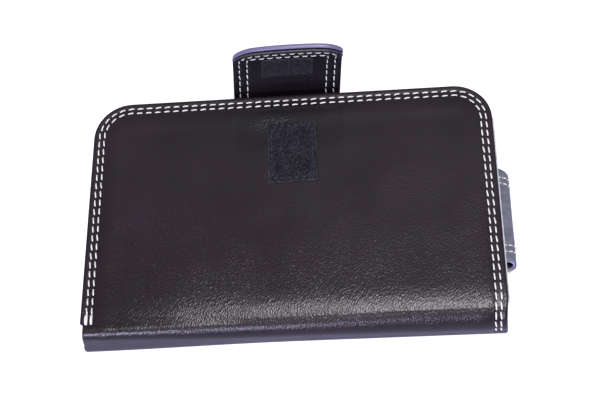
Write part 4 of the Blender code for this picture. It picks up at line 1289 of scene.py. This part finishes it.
def holder_gusset(low, high):
    """The gusset on the holder's three closed sides: a wall whose middle folds in and out as a sine."""
    path = rounded_loop(
        (low[0] - GUSSET_RUN_OUT, low[1] + GUSSET_WALL),
        (high[0] - GUSSET_WALL, high[1] - GUSSET_WALL),
        GUSSET_CORNER,
    )
    path = path[path[:, 0] >= low[0]]
    gaps = np.linalg.norm(np.roll(path, 1, axis=0) - path, axis=1)
    path = np.roll(path, -int(np.argmax(gaps)), axis=0)
    levels = np.linspace(low[2], high[2] - HOLDER_LEATHER, 9)
    fold = GUSSET_FOLD * np.sin(np.linspace(0.0, 2 * math.pi, len(levels)))
    along = unit(np.gradient(path, axis=0))
    out = np.stack([along[:, 1], -along[:, 0]], 1)
    layers = []
    for offset in (-GUSSET_WALL / 2, GUSSET_WALL / 2):
        xy = path[:, None] + out[:, None] * (offset + fold)[:, None]
        layers.append(stack_points(xy[..., 0], xy[..., 1], levels))
    return closed_sheet("holder_gusset", *layers)


class WALLET_OT_phone_holder(bpy.types.Operator):
    """Build the holder's frame with its window, and the gusset under it"""

    bl_idname = "wallet.phone_holder"
    bl_label = "Phone holder"
    bl_options = {"REGISTER", "UNDO"}

    def execute(self, context):
        covers = context.scene.wallet_covers
        low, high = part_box("phone_holder")
        leather = lining_leather("holder_leather", covers.lining)
        finish_piece(holder_frame(low, high), "back_cover", leather, ("phone_holder",))
        elastic = elastic_material("gusset_elastic", covers.lining)
        finish_piece(holder_gusset(low, high), "back_cover", elastic)
        return {"FINISHED"}


class WALLET_OT_pockets(bpy.types.Operator):
    """Build the two card pockets on the front lining"""

    bl_idname = "wallet.pockets"
    bl_label = "Card pockets"
    bl_options = {"REGISTER", "UNDO"}

    def execute(self, context):
        material = lining_leather("pocket_leather", context.scene.wallet_covers.lining)
        for word in ("deep", "shallow"):
            obj = lining_sheet(f"pocket_{word}", f"card_pocket_{word}", POCKET_CORNER, -1.0, 16)
            finish_piece(obj, "front_cover", material, (f"card_pocket_{word}",))
        return {"FINISHED"}


# Pen loop


def loop_centre():
    """Middle of the pen loop's section, on X and Z."""
    low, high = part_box("pen_loop")
    return high[0] - LOOP_HALF_WIDTH, (low[2] + high[2]) / 2


def squircle(angle, half_width, half_height):
    """A superellipse: an ellipse whose cosine and sine are raised to two over the squareness."""
    c, s = np.cos(angle), np.sin(angle)
    power = 2 / LOOP_SQUARENESS
    return half_width * np.sign(c) * np.abs(c) ** power, half_height * np.sign(s) * np.abs(s) ** power


def loop_tube(name, half_width, half_height, wall, overhang):
    """A superellipse tube with rounded ends, whose near end is cut back at the top.

    Every ring is the section at one inset from the outside, a little slack between the seams. The cut
    moves a point along Y by its share of the height times the fourth power of its share of the length,
    and the far end's right side is drawn in by the eighth power and the cube of its shares.
    """
    low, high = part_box("pen_loop")
    centre_x, centre_z = loop_centre()
    near, far = low[1] - overhang, high[1] - wall / 2
    angle = np.linspace(0.0, 2 * math.pi, 97)[:-1]
    rim = np.linspace(0.0, math.pi, 7)
    length = np.linspace(near + wall / 2, far, 40)
    outside = np.zeros(len(length))
    rim_in, rim_out = wall / 2 * (1 - np.cos(rim)), wall / 2 * np.sin(rim)
    inset = np.concatenate([outside, rim_in, outside + wall, wall - rim_in])[:, None]
    y = np.concatenate([length, length[-1] + rim_out, length[::-1], length[0] - rim_out])[:, None]
    slack = LOOP_SLACK * np.abs(np.cos((y - (low[1] + high[1]) / 2) / LOOP_SLACK_RUN))
    x, z = squircle(angle, half_width - inset - slack / 2, half_height - inset - slack)
    top_share = ((far - y) / (far - near)) ** 4 * (z / half_height + 1) / 2
    right_share = ((y - near) / (far - near)) ** 8 * (x / half_width / 2 + 0.5) ** 3
    moved = y + LOOP_CUT * top_share - LOOP_FAR_SHARE * LOOP_CUT * right_share
    points = stack_points(centre_x + x, moved, centre_z + z)
    return make_object(name, points, torus_faces(number(points)))


class WALLET_OT_pen_loop(bpy.types.Operator):
    """Build the pen loop: a leather tube, its pale lining and the tongue that is sewn to the back lining"""

    bl_idname = "wallet.pen_loop"
    bl_label = "Pen loop"
    bl_options = {"REGISTER", "UNDO"}

    def execute(self, context):
        covers = context.scene.wallet_covers
        low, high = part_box("pen_loop")
        centre_x, centre_z = loop_centre()
        leather = loop_leather("pen_loop_leather", covers.loop)
        tube = loop_tube("pen_loop_tube", LOOP_HALF_WIDTH, LOOP_HALF_HEIGHT, LOOP_SKIN, 0.0)
        finish_piece(tube, "back_cover", leather, ("pen_loop",))
        half_width, half_height = LOOP_HALF_WIDTH - LOOP_SKIN, LOOP_HALF_HEIGHT - LOOP_SKIN
        sleeve = loop_tube("pen_loop_sleeve", half_width, half_height, LOOP_LINING, LOOP_OVERHANG)
        slope = LOOP_CUT / (2 * half_height)
        # The lining's colour falls off behind this mouth as painted shade
        mouth = low[1] - LOOP_OVERHANG + LOOP_CUT / 2 - slope * centre_z
        suede = suede_material("pen_loop_suede", covers.suede, slope, mouth)
        finish_piece(sleeve, "back_cover", suede)
        reach, middle = centre_x - low[0], (low[1] + high[1]) / 2

        def place(a, b, height):
            """Lays flat points level, with b running from the tube's middle to the left."""
            return stack_points(centre_x - b, middle + a, low[2] + TONGUE_LEVEL + height)

        corner = TONGUE_CORNER
        section = edge_section(TONGUE_THICKNESS, TONGUE_ROLL, corner, TONGUE_TUCK, steps=4, inner_steps=3)
        rows = np.linspace(TONGUE_START, reach - corner, 8)
        half = (high[1] - low[1]) / 2
        tongue = panel("pen_loop_tongue", half, reach, corner, section, rows, 30, place, corner_steps=5)
        finish_piece(tongue, "back_cover", leather)
        return {"FINISHED"}


class WALLET_OT_pen_loop_seams(bpy.types.Operator):
    """Sew two rows round the outside of the pen loop near each end"""

    bl_idname = "wallet.pen_loop_seams"
    bl_label = "Pen loop stitches"
    bl_options = {"REGISTER", "UNDO"}

    def execute(self, context):
        seams = context.scene.wallet_seams
        thread = thread_material("pen_loop_thread", seams.thread)
        centre_x, centre_z = loop_centre()
        angle = np.radians(np.linspace(*LOOP_SEAM_ANGLES, 190))
        x, z = squircle(angle, LOOP_HALF_WIDTH, LOOP_HALF_HEIGHT)
        pulled = LOOP_SEAM_PULL * (x / LOOP_HALF_WIDTH / 2 + 0.5) ** 3
        for word, pull in (
            ("far_outer", pulled), ("far_inner", pulled), ("near_inner", 0.0), ("near_outer", 0.0)
        ):
            low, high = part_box(f"pen_loop_seam_{word}")
            points = stack_points(centre_x + x, (low[1] + high[1]) / 2 - pull, centre_z + z)
            outward = -unit(np.cross(np.gradient(points, axis=0), (0.0, 1.0, 0.0)))
            centres, along, out = spaced(points, outward, seams.pitch * 0.62)
            row = stitch_mesh(
                f"pen_loop_stitches_{word}", centres, along, out, seams.length * 0.6, seams.width * 0.85,
                LOOP_SEAM_SLANT, crest=seams.width * 0.55, dive=seams.width * 0.25,
            )
            finish_piece(row, "back_cover", thread, (f"pen_loop_seam_{word}",))
        return {"FINISHED"}


# Materials


class Graph:
    """A material's node tree, with short calls to add nodes and links."""

    def __init__(self, name):
        self.material = bpy.data.materials.new(name)
        self.material.use_nodes = True
        self.tree = self.material.node_tree
        self.shader = self.tree.nodes["Principled BSDF"]

    def add(self, kind, settings=None, **inputs):
        """A new node, with its settings and with values or links for its inputs."""
        node = self.tree.nodes.new(kind)
        for key, value in (settings or {}).items():
            setattr(node, key, value)
        for key, value in inputs.items():
            self.put(node.inputs[key.replace("_", " ")], value)
        return node

    def put(self, socket, value):
        """Links an output to a socket, or sets the socket's own value."""
        if isinstance(value, bpy.types.NodeSocket):
            self.tree.links.new(value, socket)
        else:
            socket.default_value = value

    def coordinates(self, turn=0.0, stretch=(1.0, 1.0, 1.0)):
        """Object coordinates turned about Z and then drawn out along the turned axes."""
        source = self.add("ShaderNodeTexCoord").outputs["Object"]
        mapping = self.add(
            "ShaderNodeMapping",
            {"vector_type": "TEXTURE"},
            Vector=source,
            Rotation=(0.0, 0.0, turn),
            Scale=stretch,
        )
        return mapping.outputs["Vector"]

    def part(self, vector, axis):
        """One coordinate of a vector."""
        return self.add("ShaderNodeSeparateXYZ", Vector=vector).outputs[axis]

    def noise(self, vector, scale, detail=2.0, rough=0.5):
        """Noise from 0 to 1, with its scale in cells for each metre."""
        node = self.add("ShaderNodeTexNoise", Vector=vector, Scale=scale, Detail=detail, Roughness=rough)
        return node.outputs["Fac"]

    def spread(self, value, low, high, to_low=0.0, to_high=1.0):
        """A value taken evenly from one range to another and held at its ends."""
        node = self.add(
            "ShaderNodeMapRange", Value=value, From_Min=low, From_Max=high, To_Min=to_low, To_Max=to_high
        )
        return node.outputs["Result"]

    def maths(self, operation, first, second):
        """One sum of two values."""
        node = self.add("ShaderNodeMath", {"operation": operation})
        self.put(node.inputs[0], first)
        self.put(node.inputs[1], second)
        return node.outputs[0]

    def blend(self, factor, first, second):
        """A mix of two colours."""
        node = self.add("ShaderNodeMix", {"data_type": "RGBA"})
        self.put(node.inputs["Factor"], factor)
        self.put(node.inputs[6], first)
        self.put(node.inputs[7], second)
        return node.outputs[2]

    def bump(self, height, strength, distance, normal=None):
        """A normal that follows a height, on top of another normal where there is one."""
        node = self.add("ShaderNodeBump", Height=height, Strength=strength, Distance=distance)
        if normal is not None:
            self.put(node.inputs["Normal"], normal)
        return node.outputs["Normal"]

    def surface(self, **inputs):
        """Sets the shader's inputs and gives the material."""
        for key, value in inputs.items():
            self.put(self.shader.inputs[key.replace("_", " ")], value)
        return self.material


def shade(colour, factor):
    """A colour made lighter or darker, with alpha."""
    return (*[min(1.0, part * factor) for part in colour], 1.0)


def outer_leather(name, colour, grain_from=SPINE_Y, crumple_and_shade=None):
    """Black grain leather: slanting pebbles and creases that deepen towards one end, and a cool sheen.

    grain_from is the place on Y where the grain is deepest; crumple_and_shade is a point that fine creases
    gather round, and round which the colour is darkened as painted shade of the standing strap.
    """
    graph = Graph(name)
    flat = graph.coordinates()
    place = graph.part(flat, "Y")
    slanting = graph.coordinates(turn=math.radians(62.0), stretch=(2.0, 1.0, 1.0))
    strokes = graph.noise(slanting, 2900.0, detail=0.0)
    crossing = graph.coordinates(turn=math.radians(52.0), stretch=(2.2, 1.0, 1.0))
    creases = graph.noise(crossing, 2300.0, detail=0.0)
    fine = graph.noise(flat, 5200.0, rough=0.6)
    broad = graph.noise(flat, 55.0)
    depth = graph.spread(place, grain_from + GRAIN_FADE[1], grain_from + GRAIN_FADE[0], 0.35, 0.92)
    depth = graph.maths("MULTIPLY", depth, graph.spread(broad, 0.35, 0.65, 0.7, 1.15))
    grain = graph.maths("ADD", strokes, graph.maths("MULTIPLY", creases, 0.3))
    tint = graph.blend(graph.spread(broad, 0.3, 0.7), shade(colour, 0.85), shade(colour, 1.18))
    rough = graph.maths("ADD", graph.spread(broad, 0.3, 0.7, 0.27, 0.32), graph.maths("MULTIPLY", fine, 0.05))
    matt = graph.spread(place, grain_from + POLISH_FADE[0], grain_from + POLISH_FADE[1], 0.0, 0.10)
    rough = graph.maths("ADD", rough, matt)
    normal = graph.bump(graph.maths("MULTIPLY", grain, depth), 1.0, GRAIN_DEPTH)
    if crumple_and_shade is not None:
        reach = 2.0
        away = graph.add("ShaderNodeVectorMath", {"operation": "DISTANCE"})
        graph.put(away.inputs[0], graph.coordinates(stretch=(reach, 1.0, 1.0)))
        graph.put(away.inputs[1], (crumple_and_shade[0] / reach, *crumple_and_shade[1:]))
        away = away.outputs["Value"]
        gathered = graph.coordinates(turn=math.radians(25.0), stretch=(2.2, 1.0, 1.0))
        folds = graph.noise(gathered, 2100.0, detail=1.0)
        folds = graph.maths("MULTIPLY", folds, graph.spread(away, CRUMPLE_RUN[1], CRUMPLE_RUN[0]))
        # Painted shade: the colour darkens near the point, where the standing strap shades the cover
        shaded = graph.spread(away, SHADE_RUN[1], SHADE_RUN[0], 0.0, 0.8)
        tint = graph.blend(shaded, tint, shade(colour, 0.1))
        normal = graph.bump(folds, 1.0, CRUMPLE_DEPTH, normal)
    return graph.surface(
        Base_Color=tint,
        Roughness=rough,
        Normal=normal,
        Sheen_Weight=0.10,
        Sheen_Roughness=0.35,
        Sheen_Tint=(0.48, 0.46, 1.0, 1.0),
    )


def lining_leather(name, colour):
    """Thin smooth lining: fine even grain and a little mottling."""
    graph = Graph(name)
    flat = graph.coordinates()
    grain = graph.noise(flat, 3800.0, detail=3.0, rough=0.6)
    broad = graph.noise(flat, 80.0)
    tint = graph.blend(graph.spread(broad, 0.3, 0.7), shade(colour, 0.85), shade(colour, 1.2))
    rough = graph.spread(broad, 0.3, 0.7, 0.48, 0.58)
    return graph.surface(Base_Color=tint, Roughness=rough, Normal=graph.bump(grain, 0.3, FINE_DEPTH))


def loop_leather(name, colour):
    """Pen loop leather: soft cross creases, fine grain, a cool sheen, and a slate colour that is partly
    painted sheen.
    """
    graph = Graph(name)
    grain = graph.noise(graph.coordinates(), 3000.0, detail=3.0, rough=0.6)
    creases = graph.noise(graph.coordinates(stretch=(2.5, 1.0, 2.5)), 700.0)
    tint = graph.blend(graph.spread(creases, 0.35, 0.65), shade(colour, 0.8), shade(colour, 1.15))
    normal = graph.bump(grain, 0.5, FINE_DEPTH)
    return graph.surface(
        Base_Color=tint,
        Roughness=graph.spread(creases, 0.3, 0.7, 0.34, 0.46),
        Normal=graph.bump(creases, 0.6, LOOP_CREASE_DEPTH, normal),
        Sheen_Weight=0.5,
        Sheen_Roughness=0.3,
        Sheen_Tint=(0.72, 0.70, 1.0, 1.0),
    )


def suede_material(name, colour, slope=0.0, mouth=None):
    """Pale split leather: a short nap with rubbed patches, and painted shade inside a slanting mouth.

    The mouth is the plane y = mouth + slope * z, and the colour falls off behind it as painted shade.
    """
    graph = Graph(name)
    flat = graph.coordinates()
    nap = graph.noise(flat, 4200.0, detail=3.0, rough=0.7)
    rubbed = graph.noise(flat, 350.0)
    tint = graph.blend(graph.spread(rubbed, 0.3, 0.7), shade(colour, 0.7), shade(colour, 1.05))
    # Painted shade: the colour falls off behind the mouth, inside the tube, where light does not reach
    if mouth is not None:
        slanted = graph.maths("MULTIPLY", graph.part(flat, "Z"), slope)
        inside = graph.maths("SUBTRACT", graph.part(flat, "Y"), slanted)
        painted_shade = graph.spread(inside, mouth + INSIDE_SHADE_RUN[0], mouth + INSIDE_SHADE_RUN[1])
        tint = graph.blend(painted_shade, tint, shade(colour, 0.04))
    return graph.surface(Base_Color=tint, Roughness=0.85, Normal=graph.bump(nap, 0.5, NAP_DEPTH))


def edge_material(name, colour, leather):
    """Edge colour: glossy, pale near the strap's top as painted sheen, fading to the leather below with
    random wear.
    """
    graph = Graph(name)
    flat = graph.coordinates()
    wear = graph.noise(flat, 500.0, detail=3.0, rough=0.6)
    # Painted sheen and wear: the edge turns pale with height on Z, where light falls, and the noise wears it
    # at random
    worn = graph.maths(
        "ADD", graph.spread(graph.part(flat, "Z"), *EDGE_SHEEN_RUN), graph.spread(wear, 0.3, 0.7, -0.25, 0.25)
    )
    tint = graph.blend(graph.spread(worn, 0.2, 0.8), shade(leather, 1.5), shade(colour, 1.0))
    rough = graph.spread(wear, 0.3, 0.7, 0.28, 0.4)
    return graph.surface(Base_Color=tint, Roughness=rough, Normal=graph.bump(wear, 0.2, FINE_DEPTH))


def elastic_material(name, colour):
    """Ribbed elastic of the holder's sides: fine ribs across and a soft weave."""
    graph = Graph(name)
    flat = graph.coordinates()
    ribs = graph.maths("SINE", graph.maths("MULTIPLY", graph.part(flat, "Z"), 9000.0), 0.0)
    weave = graph.noise(flat, 4200.0, rough=0.6)
    tint = graph.blend(weave, shade(colour, 0.8), shade(colour, 1.5))
    normal = graph.bump(graph.maths("ADD", ribs, weave), 0.5, NAP_DEPTH)
    return graph.surface(Base_Color=tint, Roughness=0.78, Normal=normal)


def thread_material(name, colour):
    """Waxed twisted thread: slanting plies, a little dirt and a soft shine."""
    graph = Graph(name)
    twist = graph.coordinates(turn=math.radians(40.0), stretch=(1.0, 3.0, 1.0))
    plies = graph.noise(twist, 5200.0)
    dirt = graph.noise(graph.coordinates(), 420.0, detail=3.0, rough=0.6)
    tint = graph.blend(graph.spread(dirt, 0.35, 0.7), shade(colour, 1.0), shade(colour, 0.78))
    rough = graph.spread(dirt, 0.3, 0.7, 0.5, 0.66)
    return graph.surface(Base_Color=tint, Roughness=rough, Normal=graph.bump(plies, 0.5, PLY_DEPTH))


def woven_material(name, colour):
    """Woven tape: two crossed sets of threads, with darker patches."""
    graph = Graph(name)
    flat = graph.coordinates()
    warp, weft = [
        graph.maths("SINE", graph.maths("MULTIPLY", graph.part(flat, axis), 16000.0), 0.0) for axis in "XY"
    ]
    weave = graph.maths("MULTIPLY", warp, weft)
    tint = graph.blend(graph.spread(weave, -1.0, 1.0), shade(colour, 0.7), shade(colour, 1.6))
    patches = graph.spread(graph.noise(flat, 650.0, rough=0.6), 0.40, 0.62)
    tint = graph.blend(patches, shade(colour, 0.35), tint)
    return graph.surface(Base_Color=tint, Roughness=0.82, Normal=graph.bump(weave, 0.5, WEAVE_DEPTH))


def pile_material(name, colour, tips):
    """Nylon loops: colour that varies from loop to loop, with lighter worn tips."""
    graph = Graph(name)
    flat = graph.coordinates()
    loops = graph.noise(flat, 3300.0, rough=0.6)
    patches = graph.spread(graph.noise(flat, 240.0), 0.3, 0.75, 0.5, 1.0)
    worn = graph.maths("MULTIPLY", graph.spread(loops, 0.54, 0.64), patches)
    tint = graph.blend(worn, shade(colour, 0.3), shade(tips, 1.0))
    return graph.surface(Base_Color=tint, Roughness=graph.spread(loops, 0.3, 0.7, 0.55, 0.75))


def plastic_material(name, colour):
    """Moulded nylon with a faint flow texture."""
    graph = Graph(name)
    flow = graph.noise(graph.coordinates(), 900.0)
    tint = graph.blend(flow, shade(colour, 0.9), shade(colour, 1.5))
    rough = graph.spread(flow, 0.3, 0.7, 0.35, 0.5)
    return graph.surface(Base_Color=tint, Roughness=rough, Normal=graph.bump(flow, 0.15, FLOW_DEPTH))


def board_material(name, colour):
    """Grey board: pulp fibres and flecks."""
    graph = Graph(name)
    fibres = graph.noise(graph.coordinates(stretch=(1.0, 3.0, 1.0)), 1500.0, detail=4.0, rough=0.6)
    tint = graph.blend(fibres, shade(colour, 0.8), shade(colour, 1.15))
    return graph.surface(Base_Color=tint, Roughness=0.92, Normal=graph.bump(fibres, 0.3, PLY_DEPTH))


class WALLET_OT_hidden(bpy.types.Operator):
    """Give the boards inside the covers and the strap's anchor their finishes"""

    bl_idname = "wallet.hidden"
    bl_label = "Boards"
    bl_options = {"REGISTER", "UNDO"}

    def execute(self, context):
        covers = context.scene.wallet_covers
        board = board_material("grey_board", covers.board)
        anchor = lining_leather("anchor_leather", covers.leather)
        for name, material in (("front_board", board), ("back_board", board), ("strap_anchor", anchor)):
            materials = frame["nodes"][name].data.materials
            materials.clear()
            materials.append(material)
        return {"FINISHED"}


# Stage


def floor_material():
    """White floor: it takes shadows, and shows as near white to the camera and as a cool tint in gloss."""
    graph = Graph("white_floor")
    flat = graph.coordinates()
    path = graph.add("ShaderNodeLightPath").outputs
    glossy = path["Is Glossy Ray"]
    seen = graph.maths("MAXIMUM", path["Is Camera Ray"], glossy)
    seen = graph.maths("MAXIMUM", seen, path["Is Transmission Ray"])
    tint = graph.blend(graph.noise(flat, 6.0), (0.80, 0.80, 0.82, 1.0), (0.82, 0.82, 0.84, 1.0))
    tint = graph.blend(glossy, tint, (0.54, 0.54, 0.57, 1.0))
    glow = graph.blend(glossy, WHITE, (0.0, 0.01, 0.30, 1.0))
    away = graph.add("ShaderNodeVectorMath", {"operation": "LENGTH"}, Vector=flat).outputs["Value"]
    strength = graph.maths("MULTIPLY", seen, graph.spread(away, *GLOW_RUN, 0.55, 0.85))
    return graph.surface(Base_Color=tint, Roughness=0.8, Emission_Color=glow, Emission_Strength=strength)


def add_floor(scene):
    """A flat square of floor at the table's level."""
    mesh = bpy.data.meshes.new("floor")
    corners = [(x * FLOOR_REACH, y * FLOOR_REACH, 0.0) for x, y in ((-1, -1), (1, -1), (1, 1), (-1, 1))]
    mesh.from_pydata(corners, [], [(0, 1, 2, 3)])
    mesh.materials.append(floor_material())
    floor = bpy.data.objects.new("floor", mesh)
    scene.collection.objects.link(floor)


def add_area_lamp(scene, name, place, size, power, colour):
    """A rectangular lamp that looks at the origin, with its long side level."""
    data = bpy.data.lights.new(name, "AREA")
    data.shape = "RECTANGLE"
    data.size, data.size_y = size
    data.energy = power
    data.color = colour
    lamp = bpy.data.objects.new(name, data)
    lamp.location = place
    back = unit(np.array(place))
    right = unit(np.array((1.0, 0.0, 0.0)) - back * back[0])
    lamp.rotation_euler = Matrix(np.stack([right, np.cross(back, right), back], 1).tolist()).to_euler()
    scene.collection.objects.link(lamp)


def add_world(scene, strength):
    """A white world that lights the room at a strength and shows as white to the camera."""
    world = bpy.data.worlds.new("studio")
    world.use_nodes = True
    tree = world.node_tree
    path = tree.nodes.new("ShaderNodeLightPath")
    seen = tree.nodes.new("ShaderNodeMix")
    seen.data_type = "FLOAT"
    tree.links.new(path.outputs["Is Camera Ray"], seen.inputs[0])
    seen.inputs[2].default_value = strength
    seen.inputs[3].default_value = 1.0
    background = tree.nodes["Background"]
    background.inputs["Color"].default_value = WHITE
    tree.links.new(seen.outputs[0], background.inputs["Strength"])
    scene.world = world


def add_camera(scene, lens):
    """The camera at the photograph's viewing angle."""
    data = bpy.data.cameras.new("camera")
    data.sensor_width = SENSOR_WIDTH
    data.lens = lens
    data.clip_start = CAMERA_CLIP
    camera = bpy.data.objects.new("camera", data)
    camera.location = CAMERA_PLACE
    turn = Matrix(np.stack([CAMERA_RIGHT, CAMERA_UP, CAMERA_BACK], 1).tolist())
    camera.rotation_euler = turn.to_euler()
    scene.collection.objects.link(camera)
    scene.camera = camera


class WALLET_OT_stage(bpy.types.Operator):
    """Build the floor, the lamps, the room's light and the camera"""

    bl_idname = "wallet.stage"
    bl_label = "Stage"
    bl_options = {"REGISTER", "UNDO"}

    def execute(self, context):
        scene = context.scene
        stage = scene.wallet_stage
        add_floor(scene)
        add_area_lamp(scene, "overhead_panel", OVERHEAD_PLACE, OVERHEAD_SIZE, stage.overhead, OVERHEAD_COLOUR)
        add_area_lamp(scene, "front_panel", FRONT_PLACE, FRONT_SIZE, stage.front, FRONT_COLOUR)
        add_world(scene, stage.world)
        add_camera(scene, stage.lens)
        scene.view_settings.view_transform = "Standard"
        return {"FINISHED"}


# Panel and registration

GROUPS = {
    "wallet_covers": CoverSizes,
    "wallet_seams": SeamSizes,
    "wallet_strap": StrapSizes,
    "wallet_tape": TapeSizes,
    "wallet_stage": StageSettings,
}

OPERATORS = (
    WALLET_OT_front_skin,
    WALLET_OT_front_edge,
    WALLET_OT_back_skin,
    WALLET_OT_front_seams,
    WALLET_OT_back_seams,
    WALLET_OT_strap,
    WALLET_OT_strap_seams,
    WALLET_OT_hook_tape,
    WALLET_OT_loop_tape,
    WALLET_OT_linings,
    WALLET_OT_spine_linings,
    WALLET_OT_phone_holder,
    WALLET_OT_pockets,
    WALLET_OT_pen_loop,
    WALLET_OT_pen_loop_seams,
    WALLET_OT_hidden,
    WALLET_OT_stage,
)


class WALLET_PT_sidebar(bpy.types.Panel):
    """Lists the wallet's sizes and its build steps."""

    bl_label = "Phone Wallet"
    bl_space_type = "VIEW_3D"
    bl_region_type = "UI"
    bl_category = "Wallet"

    def draw(self, context):
        for name, group in GROUPS.items():
            box = self.layout.box()
            for key in group.__annotations__:
                box.prop(getattr(context.scene, name), key)
        for operator in OPERATORS:
            self.layout.operator(operator.bl_idname)


def register():
    for name, group in GROUPS.items():
        bpy.utils.register_class(group)
        setattr(bpy.types.Scene, name, bpy.props.PointerProperty(type=group))
    for cls in (*OPERATORS, WALLET_PT_sidebar):
        bpy.utils.register_class(cls)


def unregister():
    for cls in (WALLET_PT_sidebar, *reversed(OPERATORS)):
        bpy.utils.unregister_class(cls)
    for name, group in reversed(GROUPS.items()):
        delattr(bpy.types.Scene, name)
        bpy.utils.unregister_class(group)


def main():
    register()
    for operator in OPERATORS:
        getattr(bpy.ops.wallet, operator.bl_idname.split(".")[1])()


if __name__ == "__main__":
    main()
